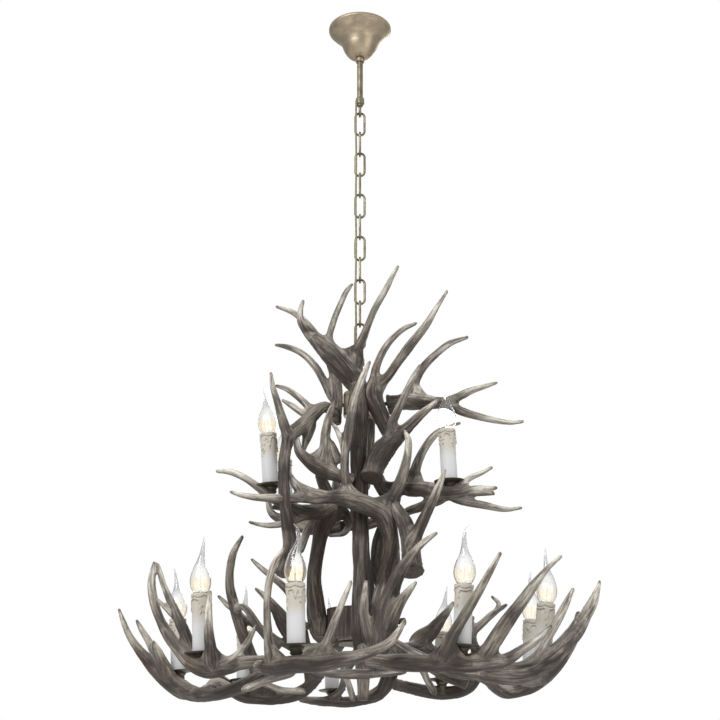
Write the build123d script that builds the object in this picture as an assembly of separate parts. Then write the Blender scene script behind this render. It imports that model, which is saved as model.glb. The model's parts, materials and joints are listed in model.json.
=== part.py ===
from build123d import *
import math
import os

# Antler chandelier hung from a ceiling on a chain. Millimetres, +Z up, seen from -Y.
# The origin is the centre of the bracket's top face, where it meets the ceiling.

# ---- Ceiling bracket, rod and terminal block ----
bracket_length, bracket_width, bracket_thick = 110.0, 24.0, 4.0
bracket_hole_spacing, bracket_hole_r = 80.0, 2.6
rod_r, rod_bore_r = 6.5, 4.5
rod_length = 174.0
rod_nut_across_flats, rod_nut_height = 22.0, 8.0
terminal_size = (30.0, 14.0, 12.0)
terminal_gap_from_rod = 6.0
terminal_screw_r = 2.0

# ---- Canopy ----
canopy_r, canopy_height, canopy_wall = 70.0, 77.0, 1.6
canopy_neck_r, canopy_bowl_r = 12.0, 40.0
canopy_lip_height = 6.0
canopy_ceiling_gap = 0.6
collar_r, collar_height = 10.0, 9.0
grub_screw_r, grub_screw_length = 1.5, 7.0
sliding_clearance = 0.3

# ---- Chain and eyes ----
wire_r = 2.5
link_length, link_width = 60.0, 25.0
link_count = 11
link_clearance = 0.3
eye_wire_r, eye_r = 3.0, 11.0
fitting_r, fitting_height = 9.5, 20.0

# ---- Supply cord ----
cord_r = 2.2
cord_side = -8.6
cord_front = -5.6
cord_tunnel_clearance = 0.4

# ---- Hubs and centre tube ----
tube_r, tube_wall, tube_thread_below = 6.5, 1.5, 2.0
upper_hub_drop, upper_hub_r, upper_hub_height = 102.0, 34.0, 51.0
lower_hub_drop, lower_hub_r, lower_hub_height = 541.0, 65.0, 62.0
flute_count, flute_r = 36, 2.6
# The lower hub's drop at which the tables of antlers, seats and screws were drawn.
drawn_lower_hub_drop = 541.0
hub_cap_r, hub_cap_height = 48.0, 8.0
finial_r, finial_height = 11.0, 22.0
hub_bolt_r, hub_bolt_head_r, hub_bolt_head_height = 4.0, 7.5, 6.0
hub_bolt_length = 34.0

# ---- Candle lights ----
cup_r, cup_depth, cup_wall = 30.0, 6.0, 1.6
stem_r, stem_length = 13.5, 26.0
sleeve_r, sleeve_wall, sleeve_length = 15.0, 1.6, 103.0
holder_clearance = 0.3
holder_length, holder_wall = 34.0, 2.0
pipe_r = 5.0
bulb_r, bulb_length, bulb_wall = 17.5, 96.0, 1.0
bulb_neck_r, bulb_tip_r = 11.0, 1.6
cap_r, cap_length = 6.8, 24.0
filament_r, filament_length = 2.6, 34.0

# Candle seats: (x, y, z) of the cup's underside centre from the hanging point, then the
# sideways lean of its axis, in x and y, for each 100 mm of height.
CANDLE_SEATS = [
    (-350, 40, -657, -7, 1), (-275, -230, -649, -5, -4), (-245, 275, -654, -2, 4),
    (-105, -345, -649, -3, -4), (-60, 355, -669, -3, 5), (175, 310, -651, 5, 4),
    (170, -320, -647, 6, -4), (330, -135, -652, 10, -4), (342, 140, -647, 7, 3),
    (-170, -110, -324, -7, -4), (170, -125, -320, -3, -3), (-155, 130, -314, -5, 4),
]

# Antlers: one list for each branch, each point (x, y, z, radius), from the root of the branch
# to its tip, measured from the hanging point. A first branch is the main beam.
ANTLERS = {
    "crown_antler_left": [
        [(24, -15, -138, 12), (4, -30, -109, 17), (-22, -45, -77, 22), (-48, -55, -47, 23),
         (-81, -65, -16, 18), (-107, -75, 6, 12), (-120, -85, 26, 8.5), (-120, -90, 46, 6),
         (-115, -95, 62, 4)],
        [(-8, -50, -60, 18), (-4, -55, -30, 12), (10, -65, 5, 8.5), (28, -75, 49, 8),
         (51, -80, 92, 7.5), (65, -85, 119, 5.5), (77, -90, 140, 3.5)],
        [(-44, -55, -45, 16), (-62, -60, -6, 9.5), (-54, -65, 29, 7.5), (-39, -70, 68, 6.5),
         (-27, -75, 93, 5.5), (-17, -80, 105, 3.5)],
    ],
    "crown_antler_back": [
        [(-49, -5, -169, 10), (-47, 0, -125, 11), (-49, 10, -82, 11.5), (-62, 20, -25, 11.5),
         (-84, 30, 23, 9.5), (-110, 40, 61, 8), (-141, 50, 93, 6), (-178, 60, 111, 3.5)],
        [(-53, 5, -119, 10), (-72, 20, -73, 9.5), (-96, 35, -29, 8.5), (-131, 50, 7, 7),
         (-159, 55, 19, 5.5), (-178, 60, 24, 3.5)],
    ],
    "crown_antler_right": [
        [(73, -50, -227, 13), (55, -55, -196, 15), (38, -60, -159, 16), (26, -55, -123, 18),
         (28, -55, -99, 16)],
        [(26, -55, -108, 14), (34, -50, -60, 8.5), (49, -50, -25, 8), (73, -45, 8, 7),
         (92, -40, 25, 6), (114, -40, 35, 4)],
        [(32, -55, -108, 14), (54, -50, -84, 11.5), (75, -50, -54, 10), (98, -45, -20, 9.5),
         (135, -40, 31, 7.5), (161, -40, 75, 5), (180, -35, 108, 3.5)],
    ],
    "side_antler_upper_right": [
        [(57, -5, -129, 17.5), (77, -10, -126, 15), (103, -20, -125, 18), (133, -35, -132, 15),
         (160, -50, -138, 12), (183, -60, -139, 13)],
        [(175, -60, -138, 12), (197, -65, -130, 10), (221, -70, -119, 7.5), (245, -70, -111, 6),
         (271, -75, -104, 3.5)],
        [(175, -60, -143, 12), (200, -65, -159, 10), (237, -70, -173, 8), (276, -70, -182, 6),
         (301, -75, -186, 4.5), (320, -75, -184, 3.5)],
        [(105, -25, -120, 16), (112, -20, -86, 10), (129, -15, -52, 8.5), (157, -5, -19, 7.5),
         (189, 5, 9, 6.5), (223, 10, 23, 4)],
    ],
    "side_antler_upper_left": [
        [(-48, -25, -152, 10), (-70, -45, -145, 11), (-95, -70, -173, 14),
         (-117, -95, -201, 13.5), (-135, -120, -228, 13.5), (-142, -140, -262, 11),
         (-143, -160, -299, 11.5), (-142, -160, -336, 11), (-140, -150, -368, 12),
         (-135, -135, -402, 14), (-131, -115, -436, 14), (-139, -100, -464, 13),
         (-147, -110, -492, 13)],
        [(-136, -120, -234, 12.5), (-148, -140, -202, 9.5), (-159, -145, -165, 7.5),
         (-168, -150, -136, 6), (-172, -150, -109, 3.5)],
        [(-87, -60, -169, 10), (-108, -50, -141, 8.5), (-131, -45, -119, 7),
         (-151, -35, -103, 5.5), (-169, -30, -96, 3.5)],
        [(-95, -70, -179, 10), (-117, -60, -160, 7.5), (-138, -50, -143, 6),
         (-154, -50, -133, 3.5)],
        [(-95, -70, -180, 14), (-102, -80, -210, 12), (-109, -80, -238, 6)],
    ],
    "trunk_antler_front": [
        [(26, -85, -610, 11), (32, -90, -559, 13.5), (41, -90, -517, 14), (53, -95, -471, 15),
         (59, -100, -435, 15.5), (55, -100, -403, 18), (42, -105, -375, 19),
         (15, -110, -360, 19), (-15, -110, -350, 18), (-47, -120, -346, 13.5),
         (-85, -130, -351, 11), (-116, -145, -354, 9.5), (-158, -160, -357, 9),
         (-200, -170, -357, 6.5), (-226, -180, -354, 4.5), (-238, -180, -350, 3.5)],
        [(-62, -125, -343, 11.5), (-94, -135, -337, 8), (-117, -140, -326, 7),
         (-134, -145, -307, 5.5), (-149, -145, -284, 3.5)],
        [(-17, -110, -350, 17), (-27, -110, -313, 10), (-29, -115, -272, 10),
         (-25, -115, -230, 9.5), (-19, -110, -192, 9), (-12, -110, -154, 8),
         (0, -110, -119, 7.5), (10, -105, -91, 6), (19, -105, -71, 3.5)],
        [(-28, -110, -268, 9.5), (-33, -110, -241, 7.5), (-39, -110, -223, 6),
         (-45, -110, -210, 5), (-54, -115, -199, 3.5)],
        [(46, -105, -371, 18), (63, -110, -345, 12), (76, -115, -317, 11.5),
         (86, -115, -286, 10), (92, -110, -255, 8.5), (93, -110, -231, 7),
         (87, -105, -212, 3.5)],
        [(-132, -150, -314, 5.5), (-118, -145, -336, 8.5), (-101, -140, -356, 8.5)],
    ],
    "trunk_antler_left_arm": [
        [(-15, -80, -305, 11.5), (-42, -90, -297, 12.5), (-73, -95, -285, 15.5),
         (-100, -105, -271, 12), (-118, -110, -251, 9.5), (-123, -110, -224, 5.5)],
        [(-73, -95, -279, 15.5), (-68, -100, -246, 11), (-66, -100, -211, 9.5),
         (-60, -100, -178, 8), (-50, -105, -152, 4)],
        [(-41, -90, -274, 13.5), (-50, -95, -253, 10.5), (-58, -100, -230, 8.5)],
    ],
    "trunk_antler_right_arm": [
        [(21, -95, -303, 19), (31, -80, -269, 19.5), (47, -85, -243, 20.5),
         (70, -90, -222, 15.5), (94, -95, -201, 11.5), (121, -100, -175, 9),
         (139, -100, -160, 7), (153, -100, -147, 4)],
        [(55, -90, -227, 13.5), (62, -95, -197, 10), (76, -100, -164, 8.5), (94, -100, -125, 8),
         (108, -105, -97, 6), (118, -105, -78, 3.5)],
    ],
    "arm_antler_right": [
        [(47, -40, -307, 11), (72, -60, -315, 12.5), (100, -85, -322, 15),
         (134, -110, -329, 15), (165, -125, -337, 13.5), (190, -135, -339, 11.5),
         (222, -140, -334, 6.5), (256, -145, -334, 3.5)],
        [(194, -135, -343, 8.5), (222, -140, -344, 6), (251, -140, -344, 3.5)],
        [(180, -130, -333, 9.5), (197, -130, -319, 7), (213, -130, -309, 6),
         (230, -130, -302, 5), (250, -125, -290, 3.5)],
        [(168, -125, -347, 10.5), (202, -130, -357, 8.5), (239, -135, -366, 7),
         (274, -135, -373, 5), (301, -140, -371, 3.5)],
        [(100, -85, -314, 15.5), (109, -80, -277, 10), (126, -70, -238, 8), (150, -60, -205, 7),
         (171, -50, -189, 5), (198, -45, -179, 3.5)],
        [(163, -120, -348, 11.5), (134, -100, -353, 11.5), (106, -75, -359, 10),
         (81, -55, -363, 7)],
        [(24, -20, -260, 10), (36, -30, -291, 14), (53, -40, -322, 14.5), (74, -60, -338, 11.5)],
    ],
    "trunk_antler_lower_right": [
        [(97, -145, -494, 19), (95, -130, -460, 18), (92, -125, -429, 17), (85, -120, -398, 15),
         (70, -110, -367, 12.5), (55, -100, -339, 9.5)],
        [(91, -130, -449, 16.5), (106, -140, -419, 13.5), (121, -150, -390, 11.5),
         (134, -160, -364, 9.5), (145, -170, -340, 7.5), (153, -170, -321, 5.5),
         (158, -170, -306, 3.5)],
    ],
    "arm_antler_left": [
        [(-51, -30, -341, 13.5), (-87, -50, -359, 15.5), (-116, -70, -364, 15.5),
         (-141, -95, -355, 12.5), (-167, -110, -345, 10.5), (-192, -115, -327, 8.5),
         (-223, -115, -306, 7), (-251, -110, -294, 6), (-274, -105, -292, 3.5)],
        [(-106, -65, -370, 11.5), (-144, -80, -388, 7.5), (-175, -90, -394, 6),
         (-194, -90, -392, 4.5), (-209, -95, -389, 3.5)],
    ],
    "trunk_antler_left": [
        [(-40, -5, -322, 14), (-59, -10, -353, 18), (-76, -15, -394, 16), (-84, -20, -440, 15),
         (-89, -20, -486, 15.5), (-85, -15, -530, 17.5), (-77, -10, -569, 13.5),
         (-76, -10, -594, 10.5)],
        [(-53, -10, -344, 16), (-32, 10, -349, 13), (-22, 25, -366, 9), (-30, 35, -382, 7),
         (-60, 40, -389, 3.5)],
        [(-63, -15, -342, 12), (-93, -5, -370, 10), (-107, 5, -394, 8.5), (-114, 10, -419, 6)],
        [(-51, -30, -345, 12), (-69, -40, -309, 12), (-80, -60, -286, 9)],
        [(-49, -15, -338, 12), (-48, -5, -309, 10), (-46, 0, -276, 8)],
    ],
    "trunk_antler_centre": [
        [(-4, -55, -100, 14), (-4, -60, -138, 19), (-3, -60, -197, 21), (-2, -60, -255, 18.5),
         (0, -65, -320, 16), (1, -70, -390, 15.5), (2, -80, -458, 16), (0, -85, -525, 16),
         (0, -90, -586, 16.5), (4, -90, -636, 15), (6, -85, -680, 11.5), (5, -85, -717, 10)],
    ],
    "trunk_antler_right": [
        [(67, -20, -323, 12), (55, -30, -367, 14.5), (39, -30, -417, 16.5),
         (35, -35, -470, 15.5), (50, -45, -528, 14.5), (58, -50, -582, 14), (60, -55, -614, 11)],
    ],
    "ring_antler_inner": [
        [(27, -250, -666, 13.5), (33, -235, -635, 18), (37, -220, -610, 19.5),
         (44, -210, -573, 17.5), (56, -195, -536, 15.5), (72, -185, -499, 12.5),
         (93, -180, -468, 9), (115, -170, -443, 7), (140, -170, -425, 3.5)],
        [(19, -235, -634, 14), (10, -215, -592, 10), (8, -200, -555, 9), (11, -190, -518, 4.5)],
        [(49, -230, -614, 15.5), (60, -220, -579, 13), (72, -220, -555, 10.5),
         (87, -215, -536, 7), (99, -210, -522, 3.5)],
        [(27, -250, -666, 13.5), (21, -190, -662, 14), (11, -130, -643, 12.5),
         (4, -100, -624, 11)],
        [(-98, -250, -672, 6), (-51, -245, -682, 8.5), (9, -240, -683, 9.5),
         (69, -235, -678, 7)],
    ],
    "ring_antler_front_left": [
        [(-172, -285, -676, 10), (-139, -325, -680, 14), (-103, -350, -677, 15.5),
         (-69, -355, -677, 14.5), (-36, -350, -670, 13.5), (-5, -345, -664, 11),
         (26, -335, -653, 9), (50, -330, -639, 7.5), (65, -320, -620, 5.5),
         (75, -315, -603, 3.5)],
        [(-146, -325, -673, 12.5), (-151, -330, -642, 9), (-155, -330, -603, 7.5),
         (-156, -330, -567, 7), (-152, -330, -532, 7), (-143, -330, -504, 6),
         (-130, -325, -482, 3.5)],
        [(-69, -355, -668, 13), (-56, -355, -644, 9), (-45, -355, -616, 7.5),
         (-32, -355, -584, 5.5), (-22, -355, -560, 4.5), (-15, -350, -543, 3.5)],
    ],
    "ring_antler_front_right": [
        [(14, -260, -662, 10), (42, -280, -667, 12.5), (76, -300, -670, 15),
         (117, -310, -672, 16), (150, -320, -673, 15.5), (183, -315, -673, 15),
         (218, -305, -669, 14), (246, -290, -664, 11), (273, -280, -648, 8.5),
         (303, -270, -628, 7), (329, -260, -605, 3.5)],
        [(138, -325, -668, 14), (153, -350, -632, 11.5), (171, -355, -602, 10),
         (193, -360, -567, 8.5), (214, -355, -532, 6), (236, -350, -495, 3.5)],
        [(201, -310, -670, 14), (221, -310, -642, 14), (244, -310, -609, 13),
         (272, -310, -573, 10), (296, -305, -542, 8), (320, -300, -514, 5),
         (347, -295, -490, 3.5)],
    ],
    "ring_antler_right": [
        [(60, -50, -611, 11.5), (109, -115, -647, 12.5), (168, -185, -668, 14),
         (208, -220, -677, 14.5), (242, -230, -681, 18), (277, -220, -680, 20),
         (315, -200, -664, 21), (352, -175, -638, 18.5), (385, -150, -605, 15),
         (412, -130, -570, 11.5), (433, -115, -537, 8.5), (447, -105, -504, 3.5)],
        [(292, -215, -671, 14), (318, -205, -639, 9), (341, -195, -603, 8.5),
         (362, -185, -568, 7.5), (385, -175, -528, 3.5)],
        [(383, -150, -601, 9), (388, -150, -585, 5.5), (390, -150, -575, 3.5)],
        [(271, -215, -679, 15.5), (300, -175, -684, 17), (329, -135, -681, 14.5)],
    ],
    "arm_antler_back": [
        [(-30, 35, -370, 12), (-70, 70, -370, 13), (-110, 100, -360, 13),
         (-150, 130, -340, 12.5), (-185, 150, -320, 9), (-195, 165, -280, 6),
         (-190, 175, -240, 3.5)],
        [(-105, 95, -360, 10), (-100, 135, -320, 8), (-85, 160, -270, 6.5),
         (-80, 170, -215, 3.5)],
        [(-30, 35, -370, 12), (20, 60, -360, 11), (60, 80, -335, 9), (80, 95, -290, 7),
         (85, 110, -235, 3.5)],
    ],
    "ring_antler_left": [
        [(-147, -230, -672, 8.5), (-183, -210, -689, 10.5), (-226, -170, -704, 12.5),
         (-275, -110, -709, 13), (-324, -30, -696, 17), (-363, 30, -674, 17),
         (-401, 50, -642, 14.5), (-427, 55, -617, 10), (-450, 55, -588, 7.5),
         (-465, 50, -558, 6), (-474, 45, -535, 3.5)],
        [(-375, 25, -658, 15.5), (-395, 10, -621, 9), (-410, 5, -594, 7.5), (-422, 0, -576, 6),
         (-429, -5, -563, 3.5)],
        [(-364, 20, -666, 15.5), (-379, 5, -633, 9.5), (-389, 0, -614, 7.5),
         (-396, -5, -601, 3.5)],
        [(-202, -190, -696, 6.5), (-174, -160, -692, 5.5), (-139, -150, -703, 6),
         (-107, -140, -704, 6.5)],
        [(-284, -95, -695, 7.5), (-264, -100, -685, 8), (-232, -110, -696, 7)],
    ],
    "ring_antler_left_front": [
        [(-49, -55, -610, 11), (-94, -140, -648, 11.5), (-132, -215, -664, 11.5),
         (-167, -270, -666, 11), (-195, -275, -667, 11), (-225, -260, -673, 12.5),
         (-257, -245, -675, 16.5), (-286, -230, -665, 15.5), (-312, -210, -643, 13),
         (-337, -190, -615, 11.5), (-358, -180, -582, 9.5), (-372, -175, -547, 8.5),
         (-378, -170, -514, 7.5), (-375, -165, -479, 4.5)],
        [(-282, -230, -670, 10.5), (-298, -210, -633, 11.5), (-316, -205, -596, 11),
         (-335, -195, -559, 8.5), (-351, -185, -528, 6.5), (-363, -175, -499, 5.5),
         (-370, -165, -479, 3.5)],
        [(-330, -200, -583, 8), (-347, -200, -563, 5.5), (-361, -200, -551, 3.5)],
        [(-251, -260, -675, 14.5), (-255, -265, -645, 11.5), (-259, -270, -616, 8.5),
         (-261, -270, -581, 6.5), (-260, -265, -547, 3.5)],
        [(-239, -260, -671, 11), (-211, -270, -656, 8), (-193, -275, -635, 6),
         (-178, -280, -607, 3.5)],
        [(-110, -170, -655, 9), (-99, -180, -638, 9), (-75, -165, -631, 10),
         (-50, -150, -637, 8)],
        [(-137, -220, -664, 9), (-117, -235, -678, 8), (-154, -245, -692, 7.5),
         (-191, -250, -707, 7)],
    ],
    "ring_antler_back_left": [
        [(-79, 215, -631, 14.5), (-91, 230, -649, 12.5), (-119, 255, -674, 13.5),
         (-164, 280, -685, 14.5), (-207, 290, -687, 15), (-247, 290, -680, 16),
         (-278, 270, -664, 14.5), (-304, 250, -644, 11.5), (-324, 235, -621, 6.5)],
        [(-207, 280, -674, 15), (-218, 245, -630, 14), (-232, 225, -593, 13.5),
         (-249, 215, -549, 13), (-264, 205, -505, 11.5), (-274, 200, -462, 9.5),
         (-274, 200, -426, 9), (-267, 195, -393, 7.5), (-250, 190, -362, 4)],
        [(-124, 205, -599, 12.5), (-171, 215, -574, 9), (-214, 220, -547, 9),
         (-244, 220, -527, 7.5), (-272, 220, -507, 6.5), (-299, 225, -482, 3.5)],
        [(-87, 220, -638, 16.5), (-118, 205, -595, 19.5), (-152, 200, -549, 17.5),
         (-174, 205, -515, 12.5), (-195, 205, -489, 8.5), (-219, 210, -469, 4)],
        [(-116, 205, -599, 16.5), (-125, 190, -540, 12.5), (-146, 185, -483, 10),
         (-184, 185, -447, 7.5), (-208, 190, -428, 6), (-228, 190, -410, 3.5)],
        [(-83, 210, -637, 14.5), (-61, 150, -621, 14), (-48, 85, -608, 12), (-37, 50, -598, 10)],
        [(-261, 205, -513, 8), (-237, 160, -515, 7), (-207, 155, -554, 10),
         (-165, 150, -599, 12)],
        [(-45, 50, -605, 10), (-80, 60, -585, 12), (-92, 65, -510, 14), (-88, 60, -430, 14),
         (-70, 40, -360, 10)],
    ],
    "ring_antler_back": [
        [(-128, 315, -686, 6.5), (-94, 335, -689, 9.5), (-58, 350, -690, 11.5),
         (-22, 360, -689, 12), (13, 350, -683, 13), (43, 340, -670, 15), (60, 320, -646, 17),
         (69, 305, -614, 15), (71, 295, -581, 10.5), (67, 285, -544, 6.5)],
        [(-65, 350, -688, 11), (-41, 330, -666, 8.5), (-34, 300, -644, 7),
         (-17, 250, -615, 9.5), (-4, 160, -604, 11), (4, 60, -601, 10)],
        [(-13, 225, -612, 7), (-37, 220, -630, 6), (-25, 215, -659, 7), (-16, 210, -687, 7)],
        [(5, 70, -605, 11), (15, 85, -525, 16), (5, 80, -420, 17), (-5, 70, -300, 16),
         (5, 60, -200, 13), (20, 60, -120, 8), (30, 70, -60, 4)],
        [(17, 40, -93, 8.5), (23, 50, -133, 9.5), (23, 50, -184, 9), (18, 50, -232, 9),
         (14, 40, -283, 8)],
    ],
    "ring_antler_back_right": [
        [(72, 280, -658, 10.5), (108, 295, -665, 13), (149, 310, -672, 15),
         (186, 320, -673, 15.5), (219, 310, -668, 14.5), (240, 290, -655, 13),
         (250, 280, -633, 12.5), (246, 265, -599, 10.5), (240, 260, -556, 9.5),
         (262, 255, -533, 8), (288, 255, -511, 7), (311, 250, -497, 4)],
        [(286, 260, -512, 7), (297, 260, -493, 5.5), (283, 255, -479, 3.5)],
        [(242, 260, -569, 8.5), (239, 255, -542, 5), (241, 255, -522, 3.5)],
        [(238, 290, -653, 12.5), (195, 270, -625, 15), (152, 255, -600, 18),
         (122, 250, -580, 19.5), (155, 260, -548, 16), (179, 265, -518, 10.5),
         (200, 270, -490, 4.5)],
        [(126, 250, -584, 18), (87, 190, -597, 13.5), (56, 120, -600, 12), (31, 50, -597, 10)],
        [(80, 175, -598, 9), (141, 150, -637, 8), (177, 165, -649, 14), (218, 160, -667, 12)],
        [(91, 195, -598, 10.5), (111, 190, -621, 8), (129, 180, -640, 7), (137, 180, -658, 6.5),
         (148, 175, -678, 7)],
        [(38, 55, -605, 10), (62, 65, -540, 14), (66, 60, -460, 15), (62, 55, -370, 14),
         (50, 45, -300, 10)],
    ],
    "ring_antler_right_back": [
        [(226, 20, -664, 8.5), (251, 60, -673, 9.5), (265, 85, -680, 12), (286, 105, -686, 14),
         (320, 120, -679, 16.5), (353, 110, -662, 18), (380, 80, -638, 17.5),
         (405, 65, -610, 14.5), (421, 50, -581, 11.5), (427, 40, -549, 6.5)],
        [(226, 20, -664, 9.5), (179, -25, -660, 11.5), (123, -20, -638, 12.5),
         (54, -5, -601, 11.5)],
    ],
}

# Screws through the places where two antlers meet: (x, y, z) of the middle of the screw from
# the hanging point. They lie along y.
ANTLER_SCREWS = [
    (-145, -240, -670), (20, -265, -660), (5, -100, -625), (60, -55, -610), (-50, -35, -340),
    (-30, 35, -370), (-140, -155, -355), (-130, -115, -220), (60, -115, -350), (0, -70, -295),
]
antler_screw_r, antler_screw_length = 2.5, 22.0

os.makedirs("parts", exist_ok=True)


def save(name, shape):
    export_step(shape, f"parts/{name}.step")


def group(shapes):
    return Compound(children=list(shapes))


def ring_between(outer, inner, height):
    return Cylinder(outer, height) - Cylinder(inner, height * 2)


def hexagon_nut(across_flats, height, bore):
    outline = RegularPolygon(across_flats / 2, 6, major_radius=False) - Circle(bore)
    return extrude(outline, height)


# ---- Ceiling bracket, rod, nut and terminal block ----
def ceiling_bracket():
    strap = Pos(0, 0, -bracket_thick / 2) * Box(bracket_length, bracket_width, bracket_thick)
    strap = fillet(strap.edges().filter_by(Axis.Z), bracket_width / 4)
    for side in (-1, 1):
        hole = Pos(side * bracket_hole_spacing / 2, 0, 0) * Cylinder(bracket_hole_r, bracket_thick * 4)
        strap -= hole
    return strap


rod_top = -bracket_thick
rod_bottom = rod_top - rod_length


def hanging_rod():
    return Pos(0, 0, (rod_top + rod_bottom) / 2) * ring_between(rod_r, rod_bore_r, rod_length)


def rod_nut():
    return Pos(0, 0, rod_top - rod_nut_height) * hexagon_nut(rod_nut_across_flats, rod_nut_height, rod_r)


def terminal_block():
    length, width, height = terminal_size
    x = rod_nut_across_flats / 2 + terminal_gap_from_rod + length / 2
    block = Pos(x, 0, -bracket_thick - height / 2) * Box(length, width, height)
    for side in (-1, 0, 1):
        mouth = Pos(x + side * length / 3.4, 0, -bracket_thick - height)
        block -= mouth * Cylinder(terminal_screw_r, height)
    return block


# ---- Canopy: a bell on the rod, held up by a collar with a grub screw ----
canopy_top = -canopy_ceiling_gap
canopy_bottom = canopy_top - canopy_height


def bell_solid(inset):
    """A flared lip that sweeps in to a round bowl, which closes on the neck."""
    reach = canopy_r - inset
    bowl = canopy_bowl_r - inset
    neck = canopy_neck_r - inset
    low = canopy_bottom + inset
    lip = canopy_top - canopy_lip_height
    span = lip - low
    side = Spline(
        (reach, 0, lip),
        (bowl + (reach - bowl) * 0.55, 0, low + span * 0.80),
        (bowl + (reach - bowl) * 0.10, 0, low + span * 0.58),
        (bowl * 0.94, 0, low + span * 0.38),
        (neck + (bowl - neck) * 0.60, 0, low + span * 0.16),
        (neck, 0, low),
    )
    rim = Line((reach, 0, canopy_top), (reach, 0, lip))
    floor = Line((neck, 0, low), (0, 0, low))
    axis = Line((0, 0, low), (0, 0, canopy_top))
    lid = Line((0, 0, canopy_top), (reach, 0, canopy_top))
    outline = make_face(Wire([rim, side, floor, axis, lid]))
    return revolve(outline, Axis.Z)


def canopy():
    hole = Pos(0, 0, canopy_bottom) * Cylinder(rod_r + sliding_clearance, canopy_height)
    return bell_solid(0) - bell_solid(canopy_wall) - hole


def canopy_collar():
    collar = Pos(0, 0, canopy_bottom - collar_height / 2)
    body = collar * ring_between(collar_r, rod_r + sliding_clearance, collar_height)
    body = fillet(body.edges().group_by(Axis.Z)[0].sort_by(SortBy.LENGTH)[-1], collar_r * 0.15)
    return body - collar * Rot(90, 0, 0) * Pos(0, 0, collar_r) * Cylinder(grub_screw_r, collar_r)


def canopy_grub_screw():
    inner = rod_r + sliding_clearance
    place = Pos(0, -inner - grub_screw_length / 2, canopy_bottom - collar_height / 2)
    return place * Rot(90, 0, 0) * Cylinder(grub_screw_r, grub_screw_length)


# ---- Eyes and chain ----
def eye_fitting():
    """A collar below z = 0 with a ring standing on it in the YZ plane."""
    ring_lift = eye_r + eye_wire_r * 0.5
    collar = Pos(0, 0, -fitting_height / 2) * Cylinder(fitting_r, fitting_height)
    return collar + Pos(0, 0, ring_lift) * Rot(0, 90, 0) * Torus(eye_r, eye_wire_r)


upper_eye_top = rod_bottom
upper_eye_wire = upper_eye_top - fitting_height - eye_r * 2 - eye_wire_r * 0.5
link_inner_pitch = link_length - 2 * wire_r
contact_step = wire_r * 2 + link_clearance
eye_contact_step = wire_r + eye_wire_r + link_clearance
first_link_top = upper_eye_wire + eye_contact_step
link_pitch = link_inner_pitch - contact_step


def link_top_wire(index):
    return first_link_top - index * link_pitch


def chain_link(index):
    half_width = link_width / 2 - wire_r
    straight = link_inner_pitch / 2 - half_width
    right = Line((half_width, 0, -straight), (half_width, 0, straight))
    top = ThreePointArc((half_width, 0, straight), (0, 0, link_inner_pitch / 2), (-half_width, 0, straight))
    left = Line((-half_width, 0, straight), (-half_width, 0, -straight))
    low = ThreePointArc((-half_width, 0, -straight), (0, 0, -link_inner_pitch / 2), (half_width, 0, -straight))
    path = Wire([right, top, left, low])
    start = Plane(origin=(half_width, 0, -straight), z_dir=(0, 0, 1))
    link = sweep(start * Circle(wire_r), path=path)
    turn = 0 if index % 2 == 0 else 90
    return Pos(0, 0, link_top_wire(index) - link_inner_pitch / 2) * Rot(0, 0, turn) * link


hang_z = link_top_wire(link_count - 1) - link_inner_pitch + eye_contact_step
body_fitting_top = hang_z - eye_r * 2 - eye_wire_r * 0.5


def cord_path():
    low = body_fitting_top - fitting_height / 2
    high = upper_eye_top - fitting_height / 2
    return Line((cord_side, cord_front, low), (cord_side, cord_front, high))


def cord_tube(radius):
    start = cord_path() @ 0
    return Pos(start.X, start.Y, start.Z) * extrude(Circle(radius), (cord_path() @ 1).Z - start.Z)


def cord_tunnel():
    return cord_tube(cord_r + cord_tunnel_clearance)


def hanging_eye():
    ring_side_down = Pos(0, 0, upper_eye_top - fitting_height) * Rot(180, 0, 0)
    return ring_side_down * eye_fitting() - cord_tunnel()


def body_eye():
    return Pos(0, 0, body_fitting_top) * eye_fitting() - cord_tunnel()


# ---- Centre tube, hubs, finial and bolts ----
tube_top = body_fitting_top - fitting_height
lower_hub_bottom = hang_z - lower_hub_drop - lower_hub_height
tube_bottom = lower_hub_bottom - hub_cap_height - tube_thread_below


def centre_tube():
    length = tube_top - tube_bottom
    return Pos(0, 0, (tube_top + tube_bottom) / 2) * ring_between(tube_r, tube_r - tube_wall, length)


def upper_hub():
    middle = hang_z - upper_hub_drop - upper_hub_height / 2
    hub = Pos(0, 0, middle) * ring_between(upper_hub_r, tube_r, upper_hub_height)
    edges = hub.edges().filter_by(GeomType.CIRCLE).filter_by(lambda e: e.radius > upper_hub_r * 0.9)
    return fillet(edges, upper_hub_r * 0.1)


def lower_hub():
    middle = hang_z - lower_hub_drop - lower_hub_height / 2
    drum = Cylinder(lower_hub_r, lower_hub_height) - Cylinder(tube_r, lower_hub_height * 2)
    flutes = PolarLocations(lower_hub_r, flute_count) * Cylinder(flute_r, lower_hub_height * 0.86)
    return Pos(0, 0, middle) * (drum - flutes)


def lower_hub_cap():
    cap = Pos(0, 0, lower_hub_bottom - hub_cap_height / 2)
    return cap * ring_between(hub_cap_r, tube_r, hub_cap_height)


def bottom_finial():
    profile = Spline((finial_r, 0, 0), (finial_r * 0.75, 0, -finial_height * 0.55), (0.5, 0, -finial_height))
    close = Polyline((0.5, 0, -finial_height), (0, 0, -finial_height), (0, 0, 0), (finial_r, 0, 0))
    return Pos(0, 0, tube_bottom) * revolve(make_face(Curve() + [profile, close]), Axis.Z)


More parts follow.
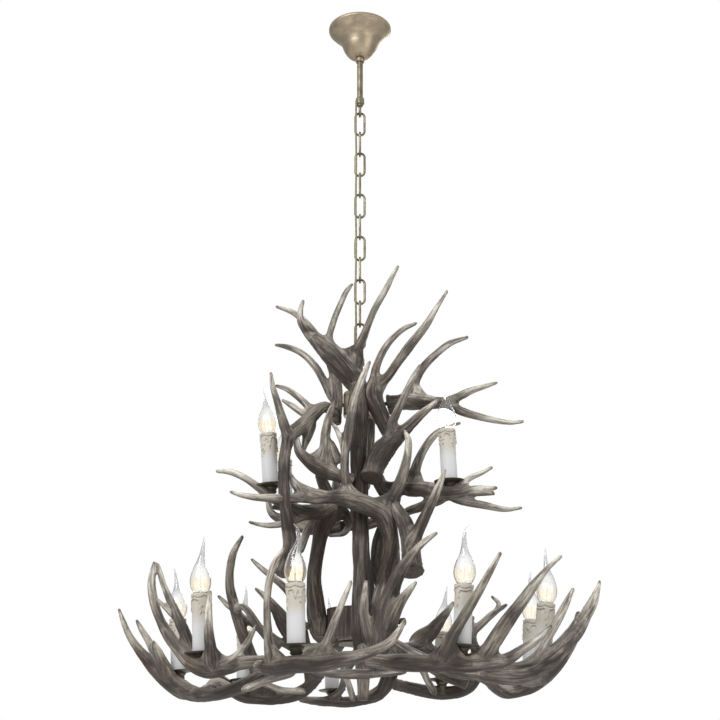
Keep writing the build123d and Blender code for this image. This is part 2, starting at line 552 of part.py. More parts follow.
def hub_bolt():
    """A bolt along +X, its head outwards, from the hub's wall."""
    shank = Pos(hub_bolt_length / 2, 0, 0) * Rot(0, 90, 0) * Cylinder(hub_bolt_r, hub_bolt_length)
    head_place = Pos(hub_bolt_length + hub_bolt_head_height / 2, 0, 0) * Rot(0, 90, 0)
    return shank + head_place * Cylinder(hub_bolt_head_r, hub_bolt_head_height)


upper_bolt_bearings = [180, 265, 350]
lower_bolt_bearings = [180, 270, 322, 90]


def hub_bolts():
    upper_z = hang_z - upper_hub_drop - upper_hub_height / 2
    lower_z = hang_z - lower_hub_drop - lower_hub_height / 2
    upper = [Pos(0, 0, upper_z) * Rot(0, 0, turn) * Pos(upper_hub_r, 0, 0) * hub_bolt()
             for turn in upper_bolt_bearings]
    lower = [Pos(0, 0, lower_z) * Rot(0, 0, turn) * Pos(lower_hub_r, 0, 0) * hub_bolt()
             for turn in lower_bolt_bearings]
    return group(upper + lower)


# ---- Antlers ----
def fitted(z):
    """A table height fitted to the hubs: spread between them, and shifted with the lower one below it."""
    if z > -upper_hub_drop:
        return z
    if z > -drawn_lower_hub_drop:
        spread = (lower_hub_drop - upper_hub_drop) / (drawn_lower_hub_drop - upper_hub_drop)
        return (z + upper_hub_drop) * spread - upper_hub_drop
    return z + drawn_lower_hub_drop - lower_hub_drop


def antler_branch(points):
    """A tapering branch: round sections, square to the path, joined by straight-sided cones."""
    places = [Vector(x, y, fitted(z)) for x, y, z, _ in points]
    ahead = places[1:] + [places[-1] + (places[-1] - places[-2])]
    behind = [places[0] - (places[1] - places[0])] + places[:-1]
    tangents = [(after - before).normalized() for after, before in zip(ahead, behind)]
    across = tangents[0].cross(Vector(0.31, 0.87, 0.39)).normalized()
    sections = []
    for place, tangent, (_, _, _, radius) in zip(places, tangents, points):
        across = (across - tangent * across.dot(tangent)).normalized()
        sections.append(Plane(origin=place, x_dir=across, z_dir=tangent) * Circle(radius))
    return loft(sections, ruled=True)


def antler(branches):
    beam, *tines = [antler_branch(points) for points in branches]
    whole = beam
    for tine in tines:
        whole = whole + tine
    return Pos(0, 0, hang_z) * whole


def antler_screws():
    screws = []
    for x, y, z in ANTLER_SCREWS:
        place = Pos(x, y, fitted(z) + hang_z)
        screws.append(place * Rot(90, 0, 0) * Cylinder(antler_screw_r, antler_screw_length))
    return group(screws)


# ---- Candle lights, each drawn on its own axis with the cup's underside at z = 0 ----
sleeve_foot = cup_wall
sleeve_head = sleeve_foot + sleeve_length
holder_r = sleeve_r - sleeve_wall - holder_clearance
holder_top = sleeve_head - holder_clearance
holder_foot = holder_top - holder_length
cap_top = holder_top + holder_clearance
socket_r = cap_r + holder_clearance


def drip_cup():
    rim = [(0, 0, 0), (cup_r * 0.55, 0, 0), (cup_r, 0, cup_depth), (cup_r, 0, cup_depth + cup_wall)]
    inside = [(cup_r * 0.55 - cup_wall * 0.5, 0, cup_wall), (0, 0, cup_wall)]
    return revolve(make_face(Polyline(*rim, *inside, close=True)), Axis.Z)


def cup_stem():
    return Pos(0, 0, -stem_length / 2) * Cylinder(stem_r, stem_length)


def lamp_holder():
    pipe_length = holder_foot - sleeve_foot
    pipe = Pos(0, 0, sleeve_foot + pipe_length / 2) * Cylinder(pipe_r, pipe_length)
    shell = Pos(0, 0, holder_foot + holder_length / 2) * Cylinder(holder_r, holder_length)
    socket = Pos(0, 0, cap_top - cap_length / 2 - holder_clearance) * Cylinder(socket_r, cap_length)
    return pipe + shell - socket


def candle_sleeve():
    tube = ring_between(sleeve_r, sleeve_r - sleeve_wall, sleeve_length)
    return Pos(0, 0, sleeve_foot + sleeve_length / 2) * tube


def bulb_cap():
    return Pos(0, 0, cap_top - cap_length / 2) * Cylinder(cap_r, cap_length)


def flame(inset):
    """The flame outline, as a solid of revolution set in from the glass by `inset`."""
    base = cap_top + inset
    tip = cap_top + bulb_length - inset
    height = tip - base
    side = Spline(
        (bulb_neck_r - inset, 0, base),
        (bulb_r - inset, 0, base + height * 0.27),
        (bulb_r * 0.42 - inset * 0.6, 0, base + height * 0.62),
        (bulb_tip_r - inset * 0.6, 0, tip),
    )
    rest = Polyline((bulb_tip_r - inset * 0.6, 0, tip), (0, 0, tip), (0, 0, base), (bulb_neck_r - inset, 0, base))
    return revolve(make_face(Curve() + [side, rest]), Axis.Z)


def bulb_glass():
    return flame(0) - flame(bulb_wall)


def bulb_filament():
    foot = cap_top + bulb_wall
    return Pos(0, 0, foot + filament_length / 2) * Cylinder(filament_r, filament_length)


def on_seats(piece):
    placed = []
    for x, y, z, lean_x, lean_y in CANDLE_SEATS:
        seat = Plane(origin=(x, y, fitted(z) + hang_z), x_dir=(1, 0, -lean_x / 100), z_dir=(lean_x, lean_y, 100))
        placed.append(seat.location * piece)
    return group(placed)


SINGLE_PIECES = {
    "ceiling_bracket": ceiling_bracket,
    "hanging_rod": hanging_rod,
    "rod_nut": rod_nut,
    "terminal_block": terminal_block,
    "hanging_eye": hanging_eye,
    "canopy": canopy,
    "canopy_collar": canopy_collar,
    "canopy_grub_screw": canopy_grub_screw,
    "body_eye": body_eye,
    "centre_tube": centre_tube,
    "upper_hub": upper_hub,
    "lower_hub": lower_hub,
    "lower_hub_cap": lower_hub_cap,
    "bottom_finial": bottom_finial,
    "hub_bolts": hub_bolts,
    "antler_screws": antler_screws,
}

CANDLE_PIECES = {
    "drip_cups": drip_cup,
    "cup_stems": cup_stem,
    "lamp_holders": lamp_holder,
    "candle_sleeves": candle_sleeve,
    "bulb_caps": bulb_cap,
    "bulb_glasses": bulb_glass,
    "bulb_filaments": bulb_filament,
}

for node, make in SINGLE_PIECES.items():
    save(node, make())

for node, make in CANDLE_PIECES.items():
    save(node, on_seats(make()))

for number in range(link_count):
    save(f"chain_link_{number + 1:02d}", chain_link(number))

save("supply_cord", cord_tube(cord_r))

for node, branches in ANTLERS.items():
    save(node, antler(branches))
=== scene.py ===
"""Antler chandelier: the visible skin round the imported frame.

Metres in the scene, millimetres in the tables and classes below, +Z up, seen from -Y. The origin is
the middle of the bracket's top face, where it meets the ceiling.
"""
import itertools
import json
import logging
import math
from dataclasses import dataclass, field
from enum import Enum

import bmesh
import bpy
import numpy as np
from mathutils import Matrix, Vector

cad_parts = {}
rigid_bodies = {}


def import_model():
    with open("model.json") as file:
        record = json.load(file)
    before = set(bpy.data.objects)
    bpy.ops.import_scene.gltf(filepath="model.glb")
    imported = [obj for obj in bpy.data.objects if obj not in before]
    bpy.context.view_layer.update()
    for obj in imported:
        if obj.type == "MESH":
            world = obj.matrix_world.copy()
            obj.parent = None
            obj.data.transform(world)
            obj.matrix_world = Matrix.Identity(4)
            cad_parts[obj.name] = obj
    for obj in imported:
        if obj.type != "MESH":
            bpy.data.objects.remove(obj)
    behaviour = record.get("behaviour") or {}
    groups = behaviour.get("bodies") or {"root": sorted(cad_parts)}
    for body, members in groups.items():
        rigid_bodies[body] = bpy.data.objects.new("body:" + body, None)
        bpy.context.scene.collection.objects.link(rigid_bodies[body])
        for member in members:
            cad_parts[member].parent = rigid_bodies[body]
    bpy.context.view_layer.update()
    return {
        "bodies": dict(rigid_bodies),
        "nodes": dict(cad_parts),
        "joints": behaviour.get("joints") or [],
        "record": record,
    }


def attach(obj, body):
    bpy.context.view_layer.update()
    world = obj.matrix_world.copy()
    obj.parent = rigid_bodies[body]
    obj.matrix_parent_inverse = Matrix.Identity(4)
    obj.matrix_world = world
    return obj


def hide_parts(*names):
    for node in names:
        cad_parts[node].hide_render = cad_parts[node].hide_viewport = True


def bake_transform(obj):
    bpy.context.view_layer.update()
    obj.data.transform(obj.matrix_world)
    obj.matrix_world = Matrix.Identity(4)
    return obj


log = logging.getLogger("antler_chandelier")

Socket = bpy.types.NodeSocket
Colour = tuple[float, float, float]

MM = 0.001
HANG_Z = -761.9

# Candle seats: (x, y, z) of the cup's underside centre from the hanging point, then the
# sideways lean of its axis, in x and y, for each 100 mm of height.
CANDLE_SEATS = [
    (-350, 40, -657, -7, 1), (-275, -230, -649, -5, -4), (-245, 275, -654, -2, 4),
    (-105, -345, -649, -3, -4), (-60, 355, -669, -3, 5), (175, 310, -651, 5, 4),
    (170, -320, -647, 6, -4), (330, -135, -652, 10, -4), (342, 140, -647, 7, 3),
    (-170, -110, -324, -7, -4), (170, -125, -320, -3, -3), (-155, 130, -314, -5, 4),
]

# How each flame bulb's drawn-out tip bends: sideways shift in x at three quarters of its
# height and at its tip, then the same two in y.
TIP_BENDS = [
    (-1.5, -5, 2, 0), (5, 8, -2, 3), (2, 1, 4, 6), (7, -3, -2, 2), (-2, -4, 3, 1), (3, 6, 2, -3),
    (-3, 4, -3, 0), (-5, -6, 2, 4), (-4, -2, 3, 5), (-3, -8, 2, 3), (4, -5, -3, 2), (3, 6, 4, -2),
]
# How brightly each bulb's filament glows, in the seats' order.
GLOWS = [0.6, 0.8, 0.6, 1.0, 0.55, 0.6, 0.75, 0.7, 0.65, 1.0, 1.0, 0.85]

# How dark each antler is painted, from 0, bare and pale, to 1, dark bark; partly each antler's own colour and
# partly painted shade, darkest on the inner and back antlers, which hang in shade. The others are 0.5.
TONES = {
    "crown_antler_left": 0.25, "crown_antler_right": 0.20,
    "side_antler_upper_right": 0.0, "side_antler_upper_left": 0.7,
    "arm_antler_right": 0.35, "arm_antler_left": 0.4, "arm_antler_back": 0.8, "trunk_antler_front": 0.5,
    "trunk_antler_centre": 0.85, "trunk_antler_left": 0.85, "trunk_antler_right": 0.85,
    "trunk_antler_lower_right": 0.6, "ring_antler_inner": 1.0,
    "ring_antler_front_left": 0.9, "ring_antler_front_right": 0.7, "ring_antler_left": 0.85,
    "ring_antler_left_front": 0.75, "ring_antler_right": 0.35, "ring_antler_right_back": 0.5,
    "ring_antler_back": 1.0, "ring_antler_back_left": 1.0, "ring_antler_back_right": 1.0,
}

# Antlers: one list for each branch, each point (x, y, z, radius), from the root of the branch
# to its tip, measured from the hanging point. A first branch is the main beam.
ANTLERS = {
    "crown_antler_left": [
        [(24, -15, -138, 12), (4, -30, -109, 17), (-22, -45, -77, 22), (-48, -55, -47, 23),
         (-81, -65, -16, 18), (-107, -75, 6, 12), (-120, -85, 26, 8.5), (-120, -90, 46, 6),
         (-115, -95, 62, 4)],
        [(-8, -50, -60, 18), (-4, -55, -30, 12), (10, -65, 5, 8.5), (28, -75, 49, 8),
         (51, -80, 92, 7.5), (65, -85, 119, 5.5), (77, -90, 140, 3.5)],
        [(-44, -55, -45, 16), (-62, -60, -6, 9.5), (-54, -65, 29, 7.5), (-39, -70, 68, 6.5),
         (-27, -75, 93, 5.5), (-17, -80, 105, 3.5)],
    ],
    "crown_antler_back": [
        [(-49, -5, -169, 10), (-47, 0, -125, 11), (-49, 10, -82, 11.5), (-62, 20, -25, 11.5),
         (-84, 30, 23, 9.5), (-110, 40, 61, 8), (-141, 50, 93, 6), (-178, 60, 111, 3.5)],
        [(-53, 5, -119, 10), (-72, 20, -73, 9.5), (-96, 35, -29, 8.5), (-131, 50, 7, 7),
         (-159, 55, 19, 5.5), (-178, 60, 24, 3.5)],
    ],
    "crown_antler_right": [
        [(73, -50, -227, 13), (55, -55, -196, 15), (38, -60, -159, 16), (26, -55, -123, 18),
         (28, -55, -99, 16)],
        [(26, -55, -108, 14), (34, -50, -60, 8.5), (49, -50, -25, 8), (73, -45, 8, 7),
         (92, -40, 25, 6), (114, -40, 35, 4)],
        [(32, -55, -108, 14), (54, -50, -84, 11.5), (75, -50, -54, 10), (98, -45, -20, 9.5),
         (135, -40, 31, 7.5), (161, -40, 75, 5), (180, -35, 108, 3.5)],
    ],
    "side_antler_upper_right": [
        [(57, -5, -129, 17.5), (77, -10, -126, 15), (103, -20, -125, 18), (133, -35, -132, 15),
         (160, -50, -138, 12), (183, -60, -139, 13)],
        [(175, -60, -138, 12), (197, -65, -130, 10), (221, -70, -119, 7.5), (245, -70, -111, 6),
         (271, -75, -104, 3.5)],
        [(175, -60, -143, 12), (200, -65, -159, 10), (237, -70, -173, 8), (276, -70, -182, 6),
         (301, -75, -186, 4.5), (320, -75, -184, 3.5)],
        [(105, -25, -120, 16), (112, -20, -86, 10), (129, -15, -52, 8.5), (157, -5, -19, 7.5),
         (189, 5, 9, 6.5), (223, 10, 23, 4)],
    ],
    "side_antler_upper_left": [
        [(-48, -25, -152, 10), (-70, -45, -145, 11), (-95, -70, -173, 14),
         (-117, -95, -201, 13.5), (-135, -120, -228, 13.5), (-142, -140, -262, 11),
         (-143, -160, -299, 11.5), (-142, -160, -336, 11), (-140, -150, -368, 12),
         (-135, -135, -402, 14), (-131, -115, -436, 14), (-139, -100, -464, 13),
         (-147, -110, -492, 13)],
        [(-136, -120, -234, 12.5), (-148, -140, -202, 9.5), (-159, -145, -165, 7.5),
         (-168, -150, -136, 6), (-172, -150, -109, 3.5)],
        [(-87, -60, -169, 10), (-108, -50, -141, 8.5), (-131, -45, -119, 7),
         (-151, -35, -103, 5.5), (-169, -30, -96, 3.5)],
        [(-95, -70, -179, 10), (-117, -60, -160, 7.5), (-138, -50, -143, 6),
         (-154, -50, -133, 3.5)],
        [(-95, -70, -180, 14), (-102, -80, -210, 12), (-109, -80, -238, 6)],
    ],
    "trunk_antler_front": [
        [(26, -85, -610, 11), (32, -90, -559, 13.5), (41, -90, -517, 14), (53, -95, -471, 15),
         (59, -100, -435, 15.5), (55, -100, -403, 18), (42, -105, -375, 19),
         (15, -110, -360, 19), (-15, -110, -350, 18), (-47, -120, -346, 13.5),
         (-85, -130, -351, 11), (-116, -145, -354, 9.5), (-158, -160, -357, 9),
         (-200, -170, -357, 6.5), (-226, -180, -354, 4.5), (-238, -180, -350, 3.5)],
        [(-62, -125, -343, 11.5), (-94, -135, -337, 8), (-117, -140, -326, 7),
         (-134, -145, -307, 5.5), (-149, -145, -284, 3.5)],
        [(-17, -110, -350, 17), (-27, -110, -313, 10), (-29, -115, -272, 10),
         (-25, -115, -230, 9.5), (-19, -110, -192, 9), (-12, -110, -154, 8),
         (0, -110, -119, 7.5), (10, -105, -91, 6), (19, -105, -71, 3.5)],
        [(-28, -110, -268, 9.5), (-33, -110, -241, 7.5), (-39, -110, -223, 6),
         (-45, -110, -210, 5), (-54, -115, -199, 3.5)],
        [(46, -105, -371, 18), (63, -110, -345, 12), (76, -115, -317, 11.5),
         (86, -115, -286, 10), (92, -110, -255, 8.5), (93, -110, -231, 7),
         (87, -105, -212, 3.5)],
        [(-132, -150, -314, 5.5), (-118, -145, -336, 8.5), (-101, -140, -356, 8.5)],
    ],
    "trunk_antler_left_arm": [
        [(-15, -80, -305, 11.5), (-42, -90, -297, 12.5), (-73, -95, -285, 15.5),
         (-100, -105, -271, 12), (-118, -110, -251, 9.5), (-123, -110, -224, 5.5)],
        [(-73, -95, -279, 15.5), (-68, -100, -246, 11), (-66, -100, -211, 9.5),
         (-60, -100, -178, 8), (-50, -105, -152, 4)],
        [(-41, -90, -274, 13.5), (-50, -95, -253, 10.5), (-58, -100, -230, 8.5)],
    ],
    "trunk_antler_right_arm": [
        [(21, -95, -303, 19), (31, -80, -269, 19.5), (47, -85, -243, 20.5),
         (70, -90, -222, 15.5), (94, -95, -201, 11.5), (121, -100, -175, 9),
         (139, -100, -160, 7), (153, -100, -147, 4)],
        [(55, -90, -227, 13.5), (62, -95, -197, 10), (76, -100, -164, 8.5), (94, -100, -125, 8),
         (108, -105, -97, 6), (118, -105, -78, 3.5)],
    ],
    "arm_antler_right": [
        [(47, -40, -307, 11), (72, -60, -315, 12.5), (100, -85, -322, 15),
         (134, -110, -329, 15), (165, -125, -337, 13.5), (190, -135, -339, 11.5),
         (222, -140, -334, 6.5), (256, -145, -334, 3.5)],
        [(194, -135, -343, 8.5), (222, -140, -344, 6), (251, -140, -344, 3.5)],
        [(180, -130, -333, 9.5), (197, -130, -319, 7), (213, -130, -309, 6),
         (230, -130, -302, 5), (250, -125, -290, 3.5)],
        [(168, -125, -347, 10.5), (202, -130, -357, 8.5), (239, -135, -366, 7),
         (274, -135, -373, 5), (301, -140, -371, 3.5)],
        [(100, -85, -314, 15.5), (109, -80, -277, 10), (126, -70, -238, 8), (150, -60, -205, 7),
         (171, -50, -189, 5), (198, -45, -179, 3.5)],
        [(163, -120, -348, 11.5), (134, -100, -353, 11.5), (106, -75, -359, 10),
         (81, -55, -363, 7)],
        [(24, -20, -260, 10), (36, -30, -291, 14), (53, -40, -322, 14.5), (74, -60, -338, 11.5)],
    ],
    "trunk_antler_lower_right": [
        [(97, -145, -494, 19), (95, -130, -460, 18), (92, -125, -429, 17), (85, -120, -398, 15),
         (70, -110, -367, 12.5), (55, -100, -339, 9.5)],
        [(91, -130, -449, 16.5), (106, -140, -419, 13.5), (121, -150, -390, 11.5),
         (134, -160, -364, 9.5), (145, -170, -340, 7.5), (153, -170, -321, 5.5),
         (158, -170, -306, 3.5)],
    ],
    "arm_antler_left": [
        [(-51, -30, -341, 13.5), (-87, -50, -359, 15.5), (-116, -70, -364, 15.5),
         (-141, -95, -355, 12.5), (-167, -110, -345, 10.5), (-192, -115, -327, 8.5),
         (-223, -115, -306, 7), (-251, -110, -294, 6), (-274, -105, -292, 3.5)],
        [(-106, -65, -370, 11.5), (-144, -80, -388, 7.5), (-175, -90, -394, 6),
         (-194, -90, -392, 4.5), (-209, -95, -389, 3.5)],
    ],
    "trunk_antler_left": [
        [(-40, -5, -322, 14), (-59, -10, -353, 18), (-76, -15, -394, 16), (-84, -20, -440, 15),
         (-89, -20, -486, 15.5), (-85, -15, -530, 17.5), (-77, -10, -569, 13.5),
         (-76, -10, -594, 10.5)],
        [(-53, -10, -344, 16), (-32, 10, -349, 13), (-22, 25, -366, 9), (-30, 35, -382, 7),
         (-60, 40, -389, 3.5)],
        [(-63, -15, -342, 12), (-93, -5, -370, 10), (-107, 5, -394, 8.5), (-114, 10, -419, 6)],
        [(-51, -30, -345, 12), (-69, -40, -309, 12), (-80, -60, -286, 9)],
        [(-49, -15, -338, 12), (-48, -5, -309, 10), (-46, 0, -276, 8)],
    ],
    "trunk_antler_centre": [
        [(-4, -55, -100, 14), (-4, -60, -138, 19), (-3, -60, -197, 21), (-2, -60, -255, 18.5),
         (0, -65, -320, 16), (1, -70, -390, 15.5), (2, -80, -458, 16), (0, -85, -525, 16),
         (0, -90, -586, 16.5), (4, -90, -636, 15), (6, -85, -680, 11.5), (5, -85, -717, 10)],
    ],
    "trunk_antler_right": [
        [(67, -20, -323, 12), (55, -30, -367, 14.5), (39, -30, -417, 16.5),
         (35, -35, -470, 15.5), (50, -45, -528, 14.5), (58, -50, -582, 14), (60, -55, -614, 11)],
    ],
    "ring_antler_inner": [
        [(27, -250, -666, 13.5), (33, -235, -635, 18), (37, -220, -610, 19.5),
         (44, -210, -573, 17.5), (56, -195, -536, 15.5), (72, -185, -499, 12.5),
         (93, -180, -468, 9), (115, -170, -443, 7), (140, -170, -425, 3.5)],
        [(19, -235, -634, 14), (10, -215, -592, 10), (8, -200, -555, 9), (11, -190, -518, 4.5)],
        [(49, -230, -614, 15.5), (60, -220, -579, 13), (72, -220, -555, 10.5),
         (87, -215, -536, 7), (99, -210, -522, 3.5)],
        [(27, -250, -666, 13.5), (21, -190, -662, 14), (11, -130, -643, 12.5),
         (4, -100, -624, 11)],
        [(-98, -250, -672, 6), (-51, -245, -682, 8.5), (9, -240, -683, 9.5),
         (69, -235, -678, 7)],
    ],
    "ring_antler_front_left": [
        [(-172, -285, -676, 10), (-139, -325, -680, 14), (-103, -350, -677, 15.5),
         (-69, -355, -677, 14.5), (-36, -350, -670, 13.5), (-5, -345, -664, 11),
         (26, -335, -653, 9), (50, -330, -639, 7.5), (65, -320, -620, 5.5),
         (75, -315, -603, 3.5)],
        [(-146, -325, -673, 12.5), (-151, -330, -642, 9), (-155, -330, -603, 7.5),
         (-156, -330, -567, 7), (-152, -330, -532, 7), (-143, -330, -504, 6),
         (-130, -325, -482, 3.5)],
        [(-69, -355, -668, 13), (-56, -355, -644, 9), (-45, -355, -616, 7.5),
         (-32, -355, -584, 5.5), (-22, -355, -560, 4.5), (-15, -350, -543, 3.5)],
    ],
    "ring_antler_front_right": [
        [(14, -260, -662, 10), (42, -280, -667, 12.5), (76, -300, -670, 15),
         (117, -310, -672, 16), (150, -320, -673, 15.5), (183, -315, -673, 15),
         (218, -305, -669, 14), (246, -290, -664, 11), (273, -280, -648, 8.5),
         (303, -270, -628, 7), (329, -260, -605, 3.5)],
        [(138, -325, -668, 14), (153, -350, -632, 11.5), (171, -355, -602, 10),
         (193, -360, -567, 8.5), (214, -355, -532, 6), (236, -350, -495, 3.5)],
        [(201, -310, -670, 14), (221, -310, -642, 14), (244, -310, -609, 13),
         (272, -310, -573, 10), (296, -305, -542, 8), (320, -300, -514, 5),
         (347, -295, -490, 3.5)],
    ],
    "ring_antler_right": [
        [(60, -50, -611, 11.5), (109, -115, -647, 12.5), (168, -185, -668, 14),
         (208, -220, -677, 14.5), (242, -230, -681, 18), (277, -220, -680, 20),
         (315, -200, -664, 21), (352, -175, -638, 18.5), (385, -150, -605, 15),
         (412, -130, -570, 11.5), (433, -115, -537, 8.5), (447, -105, -504, 3.5)],
        [(292, -215, -671, 14), (318, -205, -639, 9), (341, -195, -603, 8.5),
         (362, -185, -568, 7.5), (385, -175, -528, 3.5)],
        [(383, -150, -601, 9), (388, -150, -585, 5.5), (390, -150, -575, 3.5)],
        [(271, -215, -679, 15.5), (300, -175, -684, 17), (329, -135, -681, 14.5)],
    ],
    "arm_antler_back": [
        [(-30, 35, -370, 12), (-70, 70, -370, 13), (-110, 100, -360, 13),
         (-150, 130, -340, 12.5), (-185, 150, -320, 9), (-195, 165, -280, 6),
         (-190, 175, -240, 3.5)],
        [(-105, 95, -360, 10), (-100, 135, -320, 8), (-85, 160, -270, 6.5),
         (-80, 170, -215, 3.5)],
        [(-30, 35, -370, 12), (20, 60, -360, 11), (60, 80, -335, 9), (80, 95, -290, 7),
         (85, 110, -235, 3.5)],
    ],
    "ring_antler_left": [
        [(-147, -230, -672, 8.5), (-183, -210, -689, 10.5), (-226, -170, -704, 12.5),
         (-275, -110, -709, 13), (-324, -30, -696, 17), (-363, 30, -674, 17),
         (-401, 50, -642, 14.5), (-427, 55, -617, 10), (-450, 55, -588, 7.5),
         (-465, 50, -558, 6), (-474, 45, -535, 3.5)],
        [(-375, 25, -658, 15.5), (-395, 10, -621, 9), (-410, 5, -594, 7.5), (-422, 0, -576, 6),
         (-429, -5, -563, 3.5)],
        [(-364, 20, -666, 15.5), (-379, 5, -633, 9.5), (-389, 0, -614, 7.5),
         (-396, -5, -601, 3.5)],
        [(-202, -190, -696, 6.5), (-174, -160, -692, 5.5), (-139, -150, -703, 6),
         (-107, -140, -704, 6.5)],
        [(-284, -95, -695, 7.5), (-264, -100, -685, 8), (-232, -110, -696, 7)],
    ],
    "ring_antler_left_front": [
        [(-49, -55, -610, 11), (-94, -140, -648, 11.5), (-132, -215, -664, 11.5),
         (-167, -270, -666, 11), (-195, -275, -667, 11), (-225, -260, -673, 12.5),
         (-257, -245, -675, 16.5), (-286, -230, -665, 15.5), (-312, -210, -643, 13),
         (-337, -190, -615, 11.5), (-358, -180, -582, 9.5), (-372, -175, -547, 8.5),
         (-378, -170, -514, 7.5), (-375, -165, -479, 4.5)],
        [(-282, -230, -670, 10.5), (-298, -210, -633, 11.5), (-316, -205, -596, 11),
         (-335, -195, -559, 8.5), (-351, -185, -528, 6.5), (-363, -175, -499, 5.5),
         (-370, -165, -479, 3.5)],
        [(-330, -200, -583, 8), (-347, -200, -563, 5.5), (-361, -200, -551, 3.5)],
        [(-251, -260, -675, 14.5), (-255, -265, -645, 11.5), (-259, -270, -616, 8.5),
         (-261, -270, -581, 6.5), (-260, -265, -547, 3.5)],
        [(-239, -260, -671, 11), (-211, -270, -656, 8), (-193, -275, -635, 6),
         (-178, -280, -607, 3.5)],
        [(-110, -170, -655, 9), (-99, -180, -638, 9), (-75, -165, -631, 10),
         (-50, -150, -637, 8)],
        [(-137, -220, -664, 9), (-117, -235, -678, 8), (-154, -245, -692, 7.5),
         (-191, -250, -707, 7)],
    ],
    "ring_antler_back_left": [
        [(-79, 215, -631, 14.5), (-91, 230, -649, 12.5), (-119, 255, -674, 13.5),
         (-164, 280, -685, 14.5), (-207, 290, -687, 15), (-247, 290, -680, 16),
         (-278, 270, -664, 14.5), (-304, 250, -644, 11.5), (-324, 235, -621, 6.5)],
        [(-207, 280, -674, 15), (-218, 245, -630, 14), (-232, 225, -593, 13.5),
         (-249, 215, -549, 13), (-264, 205, -505, 11.5), (-274, 200, -462, 9.5),
         (-274, 200, -426, 9), (-267, 195, -393, 7.5), (-250, 190, -362, 4)],
        [(-124, 205, -599, 12.5), (-171, 215, -574, 9), (-214, 220, -547, 9),
         (-244, 220, -527, 7.5), (-272, 220, -507, 6.5), (-299, 225, -482, 3.5)],
        [(-87, 220, -638, 16.5), (-118, 205, -595, 19.5), (-152, 200, -549, 17.5),
         (-174, 205, -515, 12.5), (-195, 205, -489, 8.5), (-219, 210, -469, 4)],
        [(-116, 205, -599, 16.5), (-125, 190, -540, 12.5), (-146, 185, -483, 10),
         (-184, 185, -447, 7.5), (-208, 190, -428, 6), (-228, 190, -410, 3.5)],
        [(-83, 210, -637, 14.5), (-61, 150, -621, 14), (-48, 85, -608, 12), (-37, 50, -598, 10)],
        [(-261, 205, -513, 8), (-237, 160, -515, 7), (-207, 155, -554, 10),
         (-165, 150, -599, 12)],
        [(-45, 50, -605, 10), (-80, 60, -585, 12), (-92, 65, -510, 14), (-88, 60, -430, 14),
         (-70, 40, -360, 10)],
    ],
    "ring_antler_back": [
        [(-128, 315, -686, 6.5), (-94, 335, -689, 9.5), (-58, 350, -690, 11.5),
         (-22, 360, -689, 12), (13, 350, -683, 13), (43, 340, -670, 15), (60, 320, -646, 17),
         (69, 305, -614, 15), (71, 295, -581, 10.5), (67, 285, -544, 6.5)],
        [(-65, 350, -688, 11), (-41, 330, -666, 8.5), (-34, 300, -644, 7),
         (-17, 250, -615, 9.5), (-4, 160, -604, 11), (4, 60, -601, 10)],
        [(-13, 225, -612, 7), (-37, 220, -630, 6), (-25, 215, -659, 7), (-16, 210, -687, 7)],
        [(5, 70, -605, 11), (15, 85, -525, 16), (5, 80, -420, 17), (-5, 70, -300, 16),
         (5, 60, -200, 13), (20, 60, -120, 8), (30, 70, -60, 4)],
        [(17, 40, -93, 8.5), (23, 50, -133, 9.5), (23, 50, -184, 9), (18, 50, -232, 9),
         (14, 40, -283, 8)],
    ],
    "ring_antler_back_right": [
        [(72, 280, -658, 10.5), (108, 295, -665, 13), (149, 310, -672, 15),
         (186, 320, -673, 15.5), (219, 310, -668, 14.5), (240, 290, -655, 13),
         (250, 280, -633, 12.5), (246, 265, -599, 10.5), (240, 260, -556, 9.5),
         (262, 255, -533, 8), (288, 255, -511, 7), (311, 250, -497, 4)],
        [(286, 260, -512, 7), (297, 260, -493, 5.5), (283, 255, -479, 3.5)],
        [(242, 260, -569, 8.5), (239, 255, -542, 5), (241, 255, -522, 3.5)],
        [(238, 290, -653, 12.5), (195, 270, -625, 15), (152, 255, -600, 18),
         (122, 250, -580, 19.5), (155, 260, -548, 16), (179, 265, -518, 10.5),
         (200, 270, -490, 4.5)],
        [(126, 250, -584, 18), (87, 190, -597, 13.5), (56, 120, -600, 12), (31, 50, -597, 10)],
        [(80, 175, -598, 9), (141, 150, -637, 8), (177, 165, -649, 14), (218, 160, -667, 12)],
        [(91, 195, -598, 10.5), (111, 190, -621, 8), (129, 180, -640, 7), (137, 180, -658, 6.5),
         (148, 175, -678, 7)],
        [(38, 55, -605, 10), (62, 65, -540, 14), (66, 60, -460, 15), (62, 55, -370, 14),
         (50, 45, -300, 10)],
    ],
    "ring_antler_right_back": [
        [(226, 20, -664, 8.5), (251, 60, -673, 9.5), (265, 85, -680, 12), (286, 105, -686, 14),
         (320, 120, -679, 16.5), (353, 110, -662, 18), (380, 80, -638, 17.5),
         (405, 65, -610, 14.5), (421, 50, -581, 11.5), (427, 40, -549, 6.5)],
        [(226, 20, -664, 9.5), (179, -25, -660, 11.5), (123, -20, -638, 12.5),
         (54, -5, -601, 11.5)],
    ],
}


# ---- Surfaces ----
class Slot(Enum):
    """The record's material slots."""

    ANTLER = "antler"
    ANTIQUE_BRASS = "antique_brass"
    CHAIN_BRASS = "chain_brass"
    STEEL = "steel"
    DARK_BRONZE = "dark_bronze"
    DARK_WOOD = "dark_wood"
    SLEEVE = "sleeve"
    HOLDER = "holder"
    GLASS = "glass"
    CAP = "cap"
    FILAMENT = "filament"
    CORD = "cord"
    TERMINAL = "terminal"


